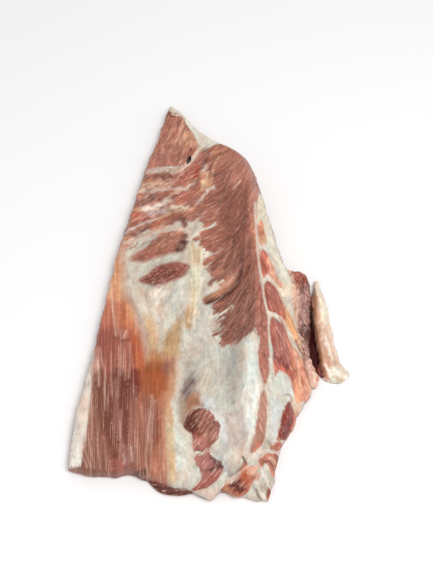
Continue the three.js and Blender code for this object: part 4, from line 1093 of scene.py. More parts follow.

# Lines in the fat, as the lean's: grey creases darkened with painted shade, tendon strands, blood vessels.
FAT_STROKES = [
    ((236,226,190), 0.7, 1.3, [(192,246), (194,275), (193,305)]),
    ((236,226,190), 0.7, 1.2, [(203,244), (198,270), (195,300)]),
    ((206,178,130), 0.6, 1, [(197,250), (196,275), (194,300)]),
    ((200,176,130), 0.5, 1, [(189,250), (190,275), (191,300)]),
    ((150,140,130), 0.5, 0.8, [(190,303), (198,304), (208,303)]),
    ((120,96,84), 0.6, 0.8, [(246,322), (254,331), (262,338)]),
    ((110,80,70), 0.7, 0.9, [(157,323), (159,323.5)]),
    # Painted shade in a small dark hollow.
    ((66,38,28), 0.95, 1.2, [(243,457), (245,461), (246,464)]),
    ((176,98,74), 0.9, 1.6, [(246,464), (242,468), (240,470)]),
    ((112,74,58), 0.9, 0.8, [(229,477), (235,473), (240,469), (244,462)]),
    ((222,176,152), 0.9, 1.4, [(226,483), (233,479.5), (240,473), (248,466.5)]),
    ((150,140,132), 0.8, 1.1, [(252,479), (254,489), (259,497)]),
    ((104,78,68), 0.9, 1, [(256,489), (258,495), (261,500)]),
    ((196,120,96), 0.5, 0.9, [(239,464), (241,454), (246,440)]),
    ((96,76,78), 0.8, 1.2, [(184,393), (188,387), (193,381)]),
    ((112,90,88), 0.7, 1, [(185,402), (187,396), (191,391)]),
    ((128,108,106), 0.6, 1.2, [(189,379), (192,375), (194,372)]),
    ((170,110,84), 0.6, 1.2, [(188,404), (192,398), (195,393)]),
    ((214,170,140), 0.6, 1.4, [(194,392), (199,399), (203,406)]),
    # A painted highlight on the lump above the flap's tan patches, and painted shade to its lower right.
    ((248,246,238), 0.85, 2.2, [(157,303), (160,298), (165,292)]),
    ((244,242,234), 0.6, 1.4, [(152,297), (155,294), (159,290)]),
    ((182,178,168), 0.6, 1.8, [(163,306), (168,300), (172,293)]),
    # Bright strands of the tendons, their brightness partly painted highlight, and the tan gaps between
    # them.
    ((248,242,216), 0.8, 0.8, [(191,262), (192,280), (191,300), (189,322)]),
    ((248,242,218), 0.8, 0.8, [(196,262), (196,282), (195,304), (194,328)]),
    ((244,238,212), 0.7, 0.8, [(204,246), (202,262), (200,284), (199,304)]),
    ((208,158,110), 0.8, 1.2, [(193,244), (194,252), (194,262)]),
    ((210,164,118), 0.8, 1, [(200,246), (199,254), (198,262)]),
    ((204,182,138), 0.6, 0.8, [(193.5,268), (194,290), (193,316)]),
    ((186,176,150), 0.5, 0.8, [(199,270), (198,290), (197,312)]),
    ((138,90,88), 0.8, 0.9, [(285,395), (290,395), (292,400), (290,404)]),
    ((70,56,50), 0.8, 0.7, [(268,441), (270,445)]),
    ((186,100,86), 0.8, 1, [(312,366), (314,372)]),
    ((186,96,80), 0.8, 1, [(317,376), (317,384)]),
    ((170,84,72), 0.8, 1, [(322,371), (324,378)]),
    ((210,206,204), 0.6, 1, [(253,380), (252,400), (249,424)]),
    ((240,234,220), 0.7, 1.6, [(259,378), (257,400), (253,424), (249,444)]),
]

# Tints of the dark muscle, some of them painted shadow and painted light, the film of fat over its inner
# side, and its strands and creases, one dark line of them painted shade.
LOBE_AREAS = [
    ((164,90,78), 1, 4, [(286,266), (312,268), (312,290), (298,290), (290,284)]),
    ((116,58,46), 0.8, 2, [(304,272), (310,276), (312,294), (306,290)]),
    ((162,120,112), 1, 4, [(296,290), (309,290), (312,316), (308,330), (296,332)]),
    ((104,66,62), 0.9, 3, [(296,328), (312,326), (312,342), (300,342)]),
    ((158,116,106), 0.9, 3, [(300,342), (310,342), (317,366), (312,376), (304,356)]),
    # Painted shadow down the muscle's right side and in the gap by the leaf, near black.
    ((84,34,26), 1, 2, [(311,300), (318,304), (322,330), (320,350), (312,340), (309.5,318)]),
    ((66,24,18), 0.9, 1.6, [(314,330), (320,330), (323,352), (326,376), (322,372), (317,352)]),
    # Painted light: a lighter patch low on the right side that offsets the leaf's shadow there.
    ((228,182,166), 0.9, 2, [(306,349), (312,350), (317,362), (318,374), (309,374), (306,360)]),
    ((240,196,176), 0.85, 2.5, [(308,368), (328,370), (328,394), (308,394)]),
]
LOBE_FILM = [
    (284,258), (290,268), (295,280), (298.5,292), (299.5,304), (299,314), (297,326), (298.5,334), (302,340),
    (290,340), (280,290),
]
LOBE_STROKES = [
    ((208,176,170), 0.7, 0.8, [(301,296), (300,302), (301,308)]),
    ((196,158,150), 0.6, 0.8, [(305,300), (304,310), (305,318)]),
    ((214,186,178), 0.6, 0.7, [(303,318), (306,324), (305,330)]),
    ((216,180,170), 0.7, 0.8, [(303,344), (306,350), (308,356)]),
    ((224,192,180), 0.7, 0.8, [(308,352), (311,358), (313,363)]),
    ((74,30,26), 0.7, 1, [(305,326), (307,336), (309,346)]),
    # Painted shade: a dark line running into the gap by the leaf.
    ((66,24,20), 0.7, 0.9, [(306,344), (311,352), (315,360)]),
    ((190,110,94), 0.7, 0.9, [(297,274), (302,273), (306,276)]),
    ((236,210,196), 0.8, 1.2, [(311,372), (314,378), (313,384)]),
    ((196,104,84), 0.8, 1.2, [(316,368), (319,374), (318,380)]),
]

# Tints and strands of the leaf of fat.
LEAF_AREAS = [
    # Painted shadow in the gap by the dark muscle, near black.
    ((78,26,18), 1, 1, [
        (308,296), (312,300), (315,325), (317,345), (322,362), (325,376), (312,376), (306,330),
    ]),
    # The inner fold, tan-brown, partly painted shade.
    ((198,150,120), 0.95, 1.8, [
        (312,294), (318,300), (321,326), (322,346), (327,366), (329,380), (323,372), (317,345), (314,320),
    ]),
    ((244,230,206), 0.9, 3, [(318,284), (328,304), (332,326), (324,328), (320,308)]),
    ((238,204,184), 0.9, 3, [(324,326), (334,330), (338,362), (330,368), (324,346)]),
    ((214,168,142), 0.7, 2, [(321,344), (326,348), (331,362), (329,370), (324,360)]),
    ((236,228,212), 0.95, 3, [(334,366), (354,368), (352,388), (328,386), (330,372)]),
    ((214,206,182), 0.7, 2.5, [(332,376), (344,378), (344,386), (330,386)]),
]
LEAF_STROKES = [
    ((214,176,150), 0.7, 1.2, [(317,296), (319,312), (321,330)]),
    ((200,150,126), 0.7, 1.2, [(323,340), (325,350), (328,362), (330,370)]),
    ((250,238,222), 0.7, 1.2, [(326,336), (329,348), (331,360)]),
    ((222,160,138), 0.7, 1.3, [(320,366), (323,372), (328,378)]),
    ((248,236,220), 0.8, 1.2, [(324,364), (330,371), (336,375)]),
    ((194,110,88), 0.8, 1, [(318,370), (321,378), (326,382)]),
    # A painted highlight along the lip.
    ((246,232,206), 0.8, 1, [(319,290), (321,306), (323,322)]),
    ((222,178,146), 0.7, 0.7, [(325,328), (327,332), (329,338)]),
    ((206,152,126), 0.7, 0.7, [(322,346), (326,352), (330,360), (333,366)]),
    ((224,196,164), 0.6, 0.7, [(325,310), (328,320), (329,330)]),
    ((190,106,88), 0.7, 0.8, [(324,368), (327,374), (326,378)]),
    ((170,84,68), 0.8, 0.8, [(329,378), (331,381)]),
    ((250,240,220), 0.7, 1.2, [(333,368), (340,372), (346,378)]),
    ((206,160,130), 0.6, 0.8, [(326,350), (328,358), (331,365)]),
    ((210,170,140), 0.6, 0.8, [(329,336), (331,346), (334,356)]),
    ((252,240,222), 0.7, 1, [(331,330), (333,342), (336,354)]),
    ((196,140,112), 0.6, 0.9, [(333,377), (338,379), (343,381)]),
]

# How the fibres run: the direction in degrees below the photograph's X, and how short they are.
FIBRE_RUN = {"tip": (-63, 0.1), "ribs": (-33, 0.12), "side": (67, 0.08), "lower": (-50, 0.08)}
FAT_RUN = (88, 0.05)

# The flap's fibres spread from a middle. The fan's slope grows from a least one between two columns.
FLAP_MIDDLE = (125, 400)
FLAP_SPREAD = 0.0006
FLAP_SHORTNESS = 0.02
FAN_SLOPE = {"least": 0.45, "growth": 1.6, "columns": (212, 254)}
FAN_SCALE = 0.8
FAN_SHORTNESS = 0.05

# How ragged the edge of each family is in pixels, how soft, and how much fat runs through it.
FAMILY_EDGE = {
    "tip": (0.9, 1.2, 0.7), "ribs": (2.2, 2.6, 0.8), "side": (0.9, 1.1, 0.5), "lower": (1.1, 0.8, 0.9),
    "flap": (1.6, 1.8, 0.75), "fan": (2.1, 1.4, 0.4),
}

# Where the edge is cleaner or more torn than the family's: a factor, over what border, and the outline.
EDGE_TEARS = [
    (0.25, 3, [(248,190), (262,196), (268,260), (276,330), (262,336), (254,300), (250,240)]),
    (0.4, 3, [(128,258), (190,226), (196,250), (194,276), (140,290), (130,275)]),
    (0.4, 3, [(200,286), (232,268), (240,280), (222,306), (200,306)]),
]

# Where the edge between lean and fat is a slow blend: how soft, over what border, and the outline.
SOFT_EDGES = [
    (9, 5, [(114,248), (126,250), (132,290), (150,326), (178,350), (178,400), (150,400), (118,300)]),
    (5, 4, [(160,396), (178,396), (178,488), (158,488)]),
]

# The threads of the fat wander, and so do the edges of tints and lines: how far and how long, in pixels.
FAT_WARP = (8, 90)
TINT_WARP = (0.8, 7)

# The thinnest line that the mesh can show; a thinner one is drawn as wide as this and fainter.
FINEST_LINE = 1.15

# Where the fibres hardly show: how strong they are, over what border, and the outline.
CALM_AREAS = [
    (0.35, 5, [
        (119,300), (134,302), (146,334), (150,356), (170,356), (172,400), (150,404), (138,380), (132,350),
        (122,326),
    ]),
    (0.6, 5, [(96,252), (124,250), (126,300), (118,334), (92,336)]),
    (0.8, 5, [(92,336), (134,336), (170,404), (170,490), (60,490)]),
]

# The sheets of noise that the surfaces lie on; the slab's families of lean take the first ones, from 0.
SHEETS = {"dark muscle": 7, "under layer": 9, "fat": 30, "leaf": 31, "wall": 50, "underside": 80}

# The dark muscle: the rows of the photograph over which its fringe begins, how deep in lean it lies and
# how much of that the fringe takes, how ragged it is above and in the fringe, and its fibres' scale.
LOBE_FRINGE = (364, 378)
LOBE_LEAN = {"depth": 2.5, "loss": 2.7, "ragged": (2.2, 4), "marbled": 1.2, "contrast": 1.9}
LOBE_FIBRES = (1.3, 2.5)

# How deep in fat the leaf lies; and the layer underneath, as the dark muscle.
LEAF_DEPTH = 3
LAYER_LEAN = {"depth": 2, "marbled": 0.5}
LAYER_FIBRES = (20, 0.1)


def fibres(family, x, y):
    """Places across and along the fibres: straight ones by a turn of the axes; the flap's spread from
    the top; the fan's are one curve moved up and down, whose slope grows to the right."""
    if family == "flap":
        spread = (x - FLAP_MIDDLE[0]) * (1 - FLAP_SPREAD * (y - FLAP_MIDDLE[1]))
        return spread, FLAP_SHORTNESS * y
    if family == "fan":
        columns = np.arange(IMAGE_WIDTH)
        drop = np.cumsum(FAN_SLOPE["least"] + FAN_SLOPE["growth"] * smooth(*FAN_SLOPE["columns"], columns))
        return FAN_SCALE * (y + np.interp(x, columns, drop)), FAN_SHORTNESS * (y - x)
    turn, shortness = FIBRE_RUN.get(family, FAT_RUN)
    turn = math.radians(turn)
    return y * math.cos(turn) - x * math.sin(turn), shortness * (x * math.cos(turn) + y * math.sin(turn))


def on_sheet(places, sheet):
    """Places across and along the fibres, on a numbered sheet of the material's noise: each kind of
    surface has a sheet of its own, so no two repeat each other."""
    across, along = places
    return np.stack([across, along, np.full(len(across), sheet)], -1)


def linear(colour):
    """Surface colour that the picture shows as an sRGB colour with values to 255: its linear light
    ((c + 0.055) / 1.055)^2.4, less what the gloss adds, over the light that falls on the slab."""
    light = ((np.array(colour) / 255 + 0.055) / 1.055) ** 2.4
    return np.maximum(light - GLOSS_LIFT, LEAST_SHARE * light) / LIGHT_ON_SLAB


def tinted(base, areas, lines, torn_lines, x, y):
    """The base colour with soft areas laid over it, then lines with bell-shaped sides. Areas and torn
    lines are looked up at places moved by small waves, so their edges wander."""
    tint = np.tile(linear(base), (len(x), 1))
    reach, length = TINT_WARP
    moved = [at + reach * waves(x, y, length, seed) for at, seed in zip((x, y), SEEDS["tints"])]
    for colour, strength, softness, outline in areas:
        share = strength * smooth(-softness, softness, depth_inside(outline, *moved, 2 * softness))
        tint = lerp(tint, linear(colour), share[:, None])
    for strokes, at in ((lines, (x, y)), (torn_lines, moved)):
        for colour, strength, width, path in strokes:
            shown = max(width, FINEST_LINE)
            distance = distance_to(spline(path), *at, 4 * shown)
            share = strength * width / shown * np.exp(-(distance / shown) ** 2)
            tint = lerp(tint, linear(colour), share[:, None])
    return tint


def outer_side(x, y):
    """Everything that the material reads on the outer side, at pixels of the photograph. Each point takes
    the fibres and the kind of edge of the lean that it lies deepest in, or nearest to."""
    depth = np.full(len(x), -float(DEPTH_REACH))
    grain = on_sheet(fibres("side", x, y), 0)
    edge = np.tile(np.array(FAMILY_EDGE["side"]), (len(x), 1))
    families = {family: depth.copy() for family, _ in LEAN.values()}
    for family, outline in LEAN.values():
        families[family] = np.maximum(families[family], depth_inside(outline, x, y, DEPTH_REACH))
    for width, path in LEAN_FINGERS:
        families["fan"] = np.maximum(families["fan"], width - distance_to(spline(path), x, y, DEPTH_REACH))
    for number, (family, family_depth) in enumerate(families.items()):
        nearer = (family_depth > depth)[:, None]
        grain = np.where(nearer, on_sheet(fibres(family, x, y), number), grain)
        edge = np.where(nearer, np.array(FAMILY_EDGE[family]), edge)
        depth = np.maximum(depth, family_depth)
    ragged, soft, marbled = edge.T
    for softness, width, outline in SOFT_EDGES:
        soft = lerp(soft, softness, smooth(-width, width, depth_inside(outline, x, y, 2 * width)))
    for factor, width, outline in EDGE_TEARS:
        ragged = ragged * lerp(1, factor, smooth(-width, width, depth_inside(outline, x, y, 2 * width)))
    for width, path in FAT_LINES:
        line = distance_to(spline(path), x, y, DEPTH_REACH) - width
        depth = np.minimum(depth, np.maximum(line, FAT_LINE_DEPTH))
    seams = [(SEAM_COLOUR, SEAM_STRENGTH, width + SEAM_MARGIN, path) for width, path in FAT_LINES]
    reach, length = FAT_WARP
    fat_grain = fibres("fat", x + reach * waves(x, y, length, SEEDS["fat"]), y)
    contrast = np.ones(len(x))
    for strength, width, outline in CALM_AREAS:
        calm = smooth(-width, width, depth_inside(outline, x, y, 2 * width))
        contrast = np.minimum(contrast, lerp(1, strength, calm))
    return {
        "lean": depth / soft, "ragged": ragged / soft, "marbled": marbled * contrast, "contrast": contrast,
        "grain": grain, "fat_grain": on_sheet(fat_grain, SHEETS["fat"]),
        "lean_tint": tinted(LEAN_COLOUR, LEAN_AREAS, LEAN_STROKES, OVER_STROKES, x, y),
        "fat_tint": tinted(FAT_COLOUR, FAT_AREAS, seams + FAT_STROKES, OVER_STROKES, x, y),
    }


# ---- The sides that the photograph hides, in plan millimetres ----------------------------------

UNDER_LEAN = (160, 96, 84)
UNDER_MEMBRANE = (212, 178, 164)
WALL_LEAN = (152, 92, 78)
WALL_FAT = (224, 206, 190)
RIB_ZONE = {"left": (-70, -40), "right": (84, 62)}

# Which way a surface faces where it turns from wall to underside, and from unseen to seen.
UNDERSIDE = (0.2, 0.7)
FACING = (0.02, 0.34)
HALF = 0.5

# How deep in lean the hidden sides lie, in half widths of its edge: a middle and a swing for the patches
# of the underside, the ribs and the layers of the wall, and how far and how long each wanders.
PATCHES = {"middle": -1.2, "swing": 2.4, "length": 46}
RIBS = {"middle": -1, "swing": -2.4, "wander": (1.3, 18)}
LAYERS = {"middle": 0.6, "swing": 2.2, "pitch": 15, "wander": (1.5, 70), "threads": (0.6, 14)}
HIDDEN_EDGE = {"ragged": 1.6, "marbled": 0.7}

# How the fibres of the wall and the underside run.
WALL_RUN = {"across": 1.2, "along": 0.08, "wander": (2, 60)}
UNDER_RUN = {"slant": 0.3, "along": 0.1}


def hidden_side(points, normals):
    """The underside, with pale ribs under a membrane and darker lean between them, and the walls, in
    layers of fat and lean; blended by how far the surface faces down."""
    x, y, z = points.T
    under = smooth(*UNDERSIDE, -normals[:, 2])
    zone = smooth(*RIB_ZONE["left"], x) * smooth(*RIB_ZONE["right"], x)
    patches = PATCHES["middle"] + PATCHES["swing"] * waves(x, y, PATCHES["length"], SEEDS["under patches"])
    swing, length = RIBS["wander"]
    wander = swing * waves(x, y, length, SEEDS["between ribs"])
    between = RIBS["middle"] + RIBS["swing"] * rib_wave(x, y) + wander
    swing, length = LAYERS["wander"]
    turn = 2 * np.pi * z / LAYERS["pitch"] + swing * waves(x, y, length, SEEDS["layers"])
    swing, length = LAYERS["threads"]
    threads = swing * waves(x + z, y - z, length, SEEDS["layer threads"])
    layers = LAYERS["middle"] + LAYERS["swing"] * np.sin(turn) + threads
    swing, length = WALL_RUN["wander"]
    across = WALL_RUN["across"] * z + swing * waves(x, y, length, SEEDS["wall fibres"])
    wall_grain = on_sheet((across, WALL_RUN["along"] * (x + y)), SHEETS["wall"])
    under_grain = on_sheet((y + UNDER_RUN["slant"] * x, UNDER_RUN["along"] * x), SHEETS["underside"])
    even = np.ones(len(x))
    return {
        "lean": lerp(layers, lerp(patches, between, zone), under), "ragged": HIDDEN_EDGE["ragged"] * even,
        "marbled": HIDDEN_EDGE["marbled"] * even, "contrast": even,
        "grain": np.where(under[:, None] > HALF, under_grain, wall_grain), "fat_grain": wall_grain,
        "lean_tint": lerp(linear(WALL_LEAN), linear(UNDER_LEAN), under[:, None]),
        "fat_tint": lerp(linear(WALL_FAT), linear(UNDER_MEMBRANE), under[:, None]),
    }


def facing_camera(points, normals):
    """1 where the photograph shows the surface: the cosine between its normal and the way to the camera,
    and 0 where it turns away."""
    way = camera_place - points
    way /= np.linalg.norm(way, axis=1)[:, None]
    return smooth(*FACING, (way * normals).sum(1))


def dress(piece, outer):
    """Blends the outer side's values with the hidden sides' by how the surface faces, and stores them as
    attributes of the mesh's vertices. Then lifts the shown surface by low waves along the fibres."""
    mesh = piece.data
    count = len(mesh.vertices)
    points, normals = np.empty(count * 3), np.empty(count * 3)
    mesh.vertices.foreach_get("co", points)
    mesh.vertices.foreach_get("normal", normals)
    points = points.reshape(-1, 3) / MM + PLAN_MIDDLE
    normals = normals.reshape(-1, 3)
    seen = facing_camera(points, normals)
    hidden = hidden_side(points, normals)
    shown_side = outer(*photo_place(points))
    for name, shown in shown_side.items():
        wide = shown.ndim == 2
        values = lerp(hidden[name], shown, seen[:, None] if wide else seen)
        if name.endswith("grain"):
            values = np.where(seen[:, None] > HALF, shown, hidden[name])
        if name.endswith("tint"):
            layer = mesh.attributes.new(name, "FLOAT_COLOR", "POINT")
            layer.data.foreach_set("color", np.column_stack([values, np.ones(count)]).ravel())
        elif wide:
            mesh.attributes.new(name, "FLOAT_VECTOR", "POINT").data.foreach_set("vector", values.ravel())
        else:
            mesh.attributes.new(name, "FLOAT", "POINT").data.foreach_set("value", values)
    lean = smooth(-1, 1, shown_side["lean"])
    fibre_height, fibre_pitch = FIBRE_RELIEF
    fat_height, fat_pitch = FAT_RELIEF
    fibre_places = shown_side["grain"][:, :2].T
    fat_places = (shown_side["fat_grain"][:, :2] * FAT_RELIEF_STRETCH).T
    fibre_lift = fibre_height * (1 + waves(*fibre_places, fibre_pitch, SEEDS["fibre relief"]))
    fat_lift = fat_height * waves(*fat_places, fat_pitch, SEEDS["fat relief"])
    lift = seen * lerp(fat_lift, fibre_lift, lean)
    lifted = points - PLAN_MIDDLE + normals * lift[:, None]
    mesh.vertices.foreach_set("co", (lifted * MM).ravel())
    mesh.update()


def lobe_side(x, y):
    """The dark muscle: lean all over but a film of fat at its inner side and a ragged pale fringe at its
    lower end."""
    across, along = fibres("side", x, y)
    fringe = smooth(*LOBE_FRINGE, y)
    lean = LOBE_LEAN["depth"] - LOBE_LEAN["loss"] * fringe
    even = np.ones(len(x))
    wide, long = LOBE_FIBRES
    return {
        "lean": np.minimum(lean, -depth_inside(LOBE_FILM, x, y)),
        "ragged": lerp(*LOBE_LEAN["ragged"], fringe),
        "marbled": LOBE_LEAN["marbled"] * even, "contrast": LOBE_LEAN["contrast"] * even,
        "grain": on_sheet((wide * across, long * along), SHEETS["dark muscle"]),
        "fat_grain": on_sheet((across, along), SHEETS["leaf"]),
        "lean_tint": tinted(LOBE_COLOUR["lean"], LOBE_AREAS, [], LOBE_STROKES, x, y),
        "fat_tint": tinted(LOBE_COLOUR["fat"], [], [], [], x, y),
    }


def leaf_side(x, y):
    """The leaf of fat: fat all over, with pink and tan areas."""
    places = fibres("side", x, y)
    even = np.ones(len(x))
    return {
        "lean": -LEAF_DEPTH * even, "ragged": even, "marbled": even, "contrast": even,
        "grain": on_sheet(places, SHEETS["dark muscle"]), "fat_grain": on_sheet(places, SHEETS["leaf"]),
        "lean_tint": tinted(LEAF_COLOUR["lean"], [], [], [], x, y),
        "fat_tint": tinted(LEAF_COLOUR["fat"], LEAF_AREAS, [], LEAF_STROKES, x, y),
    }


def layer_side(x, y):
    """The dark layer that peeps out under the front edge: lean all over, with its fibres end on."""
    across, along = fibres("flap", x, y)
    even = np.ones(len(x))
    wide, long = LAYER_FIBRES
    return {
        "lean": LAYER_LEAN["depth"] * even, "ragged": even, "marbled": LAYER_LEAN["marbled"] * even,
        "contrast": even, "grain": on_sheet((wide * along, long * across), SHEETS["under layer"]),
        "fat_grain": on_sheet((across, along), 0),
        "lean_tint": tinted(LAYER_COLOUR["lean"], [], [], [], x, y),
        "fat_tint": tinted(LAYER_COLOUR["fat"], [], [], [], x, y),
    }


# ---- Material -----------------------------------------------------------------------------------

class Value:
    """A socket that a number or colour comes out of. An operator between two of them, or with a plain
    number, adds the Math node for it."""

    def __init__(self, socket):
        self.socket = socket

    def math(self, operation, first, second):
        return add_node("ShaderNodeMath", {"operation": operation}, {0: first, 1: second})

    def __add__(self, other):
        return self.math("ADD", self, other)

    def __sub__(self, other):
        return self.math("SUBTRACT", self, other)

    def __rsub__(self, other):
        return self.math("SUBTRACT", other, self)

    def __mul__(self, other):
        return self.math("MULTIPLY", self, other)

    __radd__ = __add__
    __rmul__ = __mul__


def add_node(kind, settings, inputs, output=0):
    """A node of a kind with its settings made first, then its inputs: a Value is linked and anything
    else is set. Returns the Value of one output."""
    node = tree.nodes.new(kind)
    for name, setting in settings.items():
        setattr(node, name, setting)
    for key, value in inputs.items():
        if isinstance(value, Value):
            tree.links.new(value.socket, node.inputs[key])
        else:
            node.inputs[key].default_value = value
    return Value(node.outputs[output])


def attribute(name, output="Fac"):
    """What the mesh's vertices carry under a name."""
    return add_node("ShaderNodeAttribute", {"attribute_name": name}, {}, output)


def noise(place, scale, detail, roughness):
    """Noise at a place: octaves by detail, each weaker than the last by roughness."""
    settings = {"noise_dimensions": "3D"}
    inputs = {"Vector": place, "Scale": scale, "Detail": detail, "Roughness": roughness}
    return add_node("ShaderNodeTexNoise", settings, inputs)


def ramp(value, low, high):
    """0 below low, 1 above high, smooth between."""
    settings = {"interpolation_type": "SMOOTHSTEP"}
    return add_node("ShaderNodeMapRange", settings, {"Value": value, "From Min": low, "From Max": high})


def scaled(vector, factor):
    """Vector or colour times a number, or times a vector of three numbers."""
    if isinstance(factor, tuple):
        return add_node("ShaderNodeVectorMath", {"operation": "MULTIPLY"}, {0: vector, 1: factor})
    return add_node("ShaderNodeVectorMath", {"operation": "SCALE"}, {0: vector, "Scale": factor})


def blend(share, first, second):
    """Colour between the first and the second."""
    return add_node("ShaderNodeMix", {"data_type": "RGBA"}, {0: share, 6: first, 7: second}, output=2)


def rgba(colour):
    """The surface colour that the picture shows as a named colour, as a socket takes it."""
    return (*linear(colour), 1)


def mix(noises, weights, middle=0):
    """Sum of the noises, each less the middle and times its weight."""
    total = noises[0] * weights[0]
    for value, weight in zip(noises[1:], weights[1:]):
        total = total + value * weight
    return total - middle * sum(weights) if middle else total


# Noise along the fibres of lean and the threads of fat: its stretch, detail and roughness. A small number
# across or along makes it broad that way, and the third keeps to one sheet of it.
LEAN_NOISE = {
    "broad": ((0.2, 0.45, 1), 3, 0.55), "middle": ((0.5, 0.6, 1), 3, 0.65),
    "fine": ((1.1, 1.2, 1), 2, 0.6), "patches": ((0.08, 0.5, 1), 3, 0.6),
}
FAT_NOISE = {
    "veils": ((0.08, 0.8, 1), 3, 0.55), "films": ((0.2, 1.2, 1), 4, 0.6),
    "threads": ((0.55, 2.6, 1), 3, 0.6),
}
# Noise in space: how many to the metre, detail and roughness.
GRAIN_NOISE = {"lumps": (60, 4, 0.6), "curds": (260, 3, 0.7), "specks": (620, 2, 0.5)}

# The lean: how far its edge tears by broad, middle and fine fibres; how strongly these and the curds make
# bundles lighter and darker; and the ranges and strengths of the lines, painted highlight glints and patches
# on it.
TEAR = {"weights": (0.35, 0.35, 0.3), "reach": 14}
BUNDLES = {"base": 1.03, "weights": (1.2, 1.2, 1.6), "curds": 0.7}
PALE_LINES = {"weights": (0.45, 0.55), "range": (0.53, 0.63), "share": 0.55, "colour": (232, 196, 174)}
PAINTED_GLINTS = {"weights": (0.65, 0.35), "range": (0.58, 0.67), "share": 0.38, "colour": (240, 222, 210)}
LEAN_PATCHES = {"range": (0.38, 0.62), "dark": (0.87, 0.81, 0.79), "light": (1.11, 1.13, 1.14)}
LEAN_LUMPS = {"range": (0.5, 0.66), "share": 0.35, "light": (1.1, 1.24, 1.2)}

# The fat: veils of a warmer tint, how strongly lumps, films, threads and curds shade it, and bright films.
FAT_VEILS = {"range": (0.38, 0.6), "warm": (0.97, 0.88, 0.83), "cool": (1.0, 1.04, 1.05)}
FAT_SHADES = (0.6, 0.65, 0.65, 0.6)
BRIGHT_FILMS = {"films": (0.56, 0.66), "threads": (0.5, 0.6), "share": 0.4, "light": (1.2, 1.22, 1.2)}

# The fine relief: heights by broad, middle and fine fibres, by films, threads and curds of the fat, which
# stands a step higher, and by lumps and specks of both; its strength and depth in metres. Then the gloss.
LEAN_HEIGHTS = (1.0, 0.9, 0.5)
FAT_HEIGHTS = (1.2, 0.7, 0.6)
FAT_STEP = 0.2
SKIN_HEIGHTS = (1.2, 0.2)
BUMP = {"Strength": 0.8, "Distance": 0.001}
GLOSS = {"base": 0.36, "specks": 0.24, "lean": 0.04}
SKIN = {
    "Coat Weight": 0.2, "Coat Roughness": 0.2, "Subsurface Weight": 0.08,
    "Subsurface Radius": (1, 0.4, 0.25), "Subsurface Scale": 0.002, "Specular IOR Level": 0.4,
}

raw_pork = bpy.data.materials.new("raw_pork")
raw_pork.use_nodes = True
tree = raw_pork.node_tree
skin = tree.nodes["Principled BSDF"]

place = add_node("ShaderNodeTexCoord", {}, {}, "Object")
grain, fat_grain = attribute("grain", "Vector"), attribute("fat_grain", "Vector")
broad, middle, fine, patches = (noise(scaled(grain, way), 1, *rest) for way, *rest in LEAN_NOISE.values())
veils, films, threads = (noise(scaled(fat_grain, way), 1, *rest) for way, *rest in FAT_NOISE.values())
lumps, curds, specks = (noise(place, *rest) for rest in GRAIN_NOISE.values())

# Lean ends raggedly along its fibres.
tear = mix((broad, middle, fine), TEAR["weights"], HALF) * attribute("ragged") * TEAR["reach"]
lean_share = ramp(attribute("lean") + tear, -1, 1)

# Bundles of fibres differ in lightness, and thin pale lines of fat run between them.
contrast = attribute("contrast")
bundles = mix((broad, middle, fine), BUNDLES["weights"], HALF) * contrast
bundles = bundles + (curds - HALF) * BUNDLES["curds"] + BUNDLES["base"]
pale_lines = ramp(mix((middle, fine), PALE_LINES["weights"]), *PALE_LINES["range"]) * attribute("marbled")
# Painted highlights: small pale glints laid into the lean's colour.
painted_glints = ramp(mix((specks, fine), PAINTED_GLINTS["weights"]), *PAINTED_GLINTS["range"])

lean_tint = attribute("lean_tint", "Color")
lean_dark, lean_light = scaled(lean_tint, LEAN_PATCHES["dark"]), scaled(lean_tint, LEAN_PATCHES["light"])
lean_colour = blend(ramp(patches, *LEAN_PATCHES["range"]), lean_dark, lean_light)
lump_share = ramp(lumps, *LEAN_LUMPS["range"]) * LEAN_LUMPS["share"]
lean_colour = scaled(blend(lump_share, lean_colour, scaled(lean_tint, LEAN_LUMPS["light"])), bundles)
lean_colour = blend(pale_lines * PALE_LINES["share"], lean_colour, rgba(PALE_LINES["colour"]))
lean_colour = blend(painted_glints * contrast * PAINTED_GLINTS["share"], lean_colour, rgba(PAINTED_GLINTS["colour"]))

fat_tint = attribute("fat_tint", "Color")
fat_warm, fat_cool = scaled(fat_tint, FAT_VEILS["warm"]), scaled(fat_tint, FAT_VEILS["cool"])
fat_colour = blend(ramp(veils, *FAT_VEILS["range"]), fat_warm, fat_cool)
fat_colour = scaled(fat_colour, mix((lumps, films, threads, curds), FAT_SHADES, HALF) + 1.0)
bright = ramp(films, *BRIGHT_FILMS["films"]) * ramp(threads, *BRIGHT_FILMS["threads"])
fat_colour = blend(bright * BRIGHT_FILMS["share"], fat_colour, scaled(fat_tint, BRIGHT_FILMS["light"]))
colour = blend(lean_share, fat_colour, lean_colour)

lean_height = mix((broad, middle, fine), LEAN_HEIGHTS)
fat_height = mix((films, threads, curds), FAT_HEIGHTS) + FAT_STEP
height = mix((lumps, specks), SKIN_HEIGHTS) + lean_share * lean_height + (1 - lean_share) * fat_height
bump = add_node("ShaderNodeBump", {}, {**BUMP, "Height": height})
gloss = specks * GLOSS["specks"] + lean_share * GLOSS["lean"] + GLOSS["base"]

for socket, value in (("Base Color", colour), ("Roughness", gloss), ("Normal", bump)):
    tree.links.new(value.socket, skin.inputs[socket])
for socket, value in SKIN.items():
    skin.inputs[socket].default_value = value

# ---- The pieces ---------------------------------------------------------------------------------

# The plan's middle, from the slab and the leaf that stands out beyond it, is the frame's origin.
surface_points, surface_faces = slab_surface()
leaf = roughened(leaf_rings(*LEAF_RINGS), *LEAF_TEARS)
reached = np.concatenate([surface_points, leaf.reshape(-1, 3)])
PLAN_MIDDLE = (reached.min(0) + reached.max(0)) / 2 * (1, 1, 0)

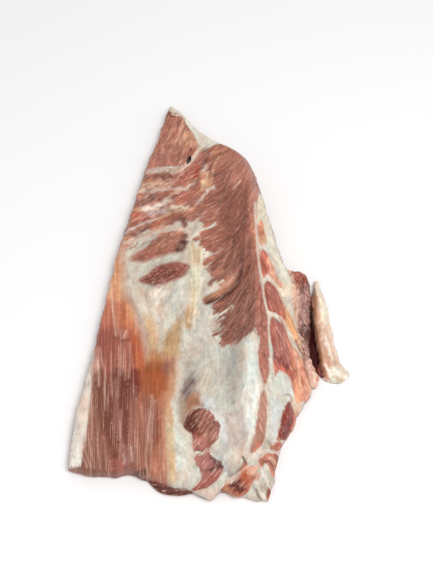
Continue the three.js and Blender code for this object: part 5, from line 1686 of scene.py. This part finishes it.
slab = make_piece("slab", surface_points, surface_faces)
cut_slit(slab)
lobe_rings = roughened(oval_muscle(LOBE, *LOBE_RINGS, 0), *LOBE_LUMPS)
lobe = make_piece("dark_muscle", *ring_surface(lobe_rings))
side_leaf = make_piece("leaf_of_fat", *ring_surface(leaf))
under_layer = make_piece("under_layer", *ring_surface(oval_muscle(UNDER_LAYER, *LAYER_RINGS, 1)))
sides = ((slab, outer_side), (lobe, lobe_side), (side_leaf, leaf_side), (under_layer, layer_side))
for piece, side in sides:
    dress(piece, side)
    piece.data.materials.append(raw_pork)
    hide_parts(NODE)
    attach(piece, "root")

# ---- Table, light and camera ------------------------------------------------------------------

TABLE = {"half": 3, "drop": 0.0005, "colour": (0.93, 0.93, 0.93, 1), "roughness": 0.7}
SKY_COLOUR = (1, 1, 1, 1)

floor_mesh = bpy.data.meshes.new("table")
table_corners = [(x * TABLE["half"], y * TABLE["half"], 0) for x, y in ((-1, -1), (1, -1), (1, 1), (-1, 1))]
floor_mesh.from_pydata(table_corners, [], [(0, 1, 2, 3)])
floor = bpy.data.objects.new("table", floor_mesh)
bpy.context.collection.objects.link(floor)
white = bpy.data.materials.new("white_table")
white.use_nodes = True
white_finish = white.node_tree.nodes["Principled BSDF"].inputs
white_finish["Base Color"].default_value = TABLE["colour"]
white_finish["Roughness"].default_value = TABLE["roughness"]
floor_mesh.materials.append(white)
floor.location.z = -TABLE["drop"]

world = bpy.data.worlds.new("sky")
bpy.context.scene.world = world
world.use_nodes = True
world_light = world.node_tree.nodes["Background"].inputs
world_light["Color"].default_value = SKY_COLOUR
world_light["Strength"].default_value = SKY_LIGHT

key_data = bpy.data.lights.new("key", "AREA")
key_data.energy = KEY_POWER
key_data.size = KEY_SIZE
key = bpy.data.objects.new("key", key_data)
key.location = KEY_PLACE
key.rotation_euler = Vector(KEY_PLACE).to_track_quat("Z", "Y").to_euler()
bpy.context.collection.objects.link(key)

camera_data = bpy.data.cameras.new("camera")
camera_data.lens = LENS
camera_data.sensor_width = SENSOR
camera = bpy.data.objects.new("camera", camera_data)
camera.location = (camera_place - PLAN_MIDDLE) * MM
camera.rotation_euler = (math.pi / 2 - CAMERA_ELEVATION, 0, 0)
bpy.context.collection.objects.link(camera)
bpy.context.scene.camera = camera
bpy.context.scene.view_settings.view_transform = "Standard"
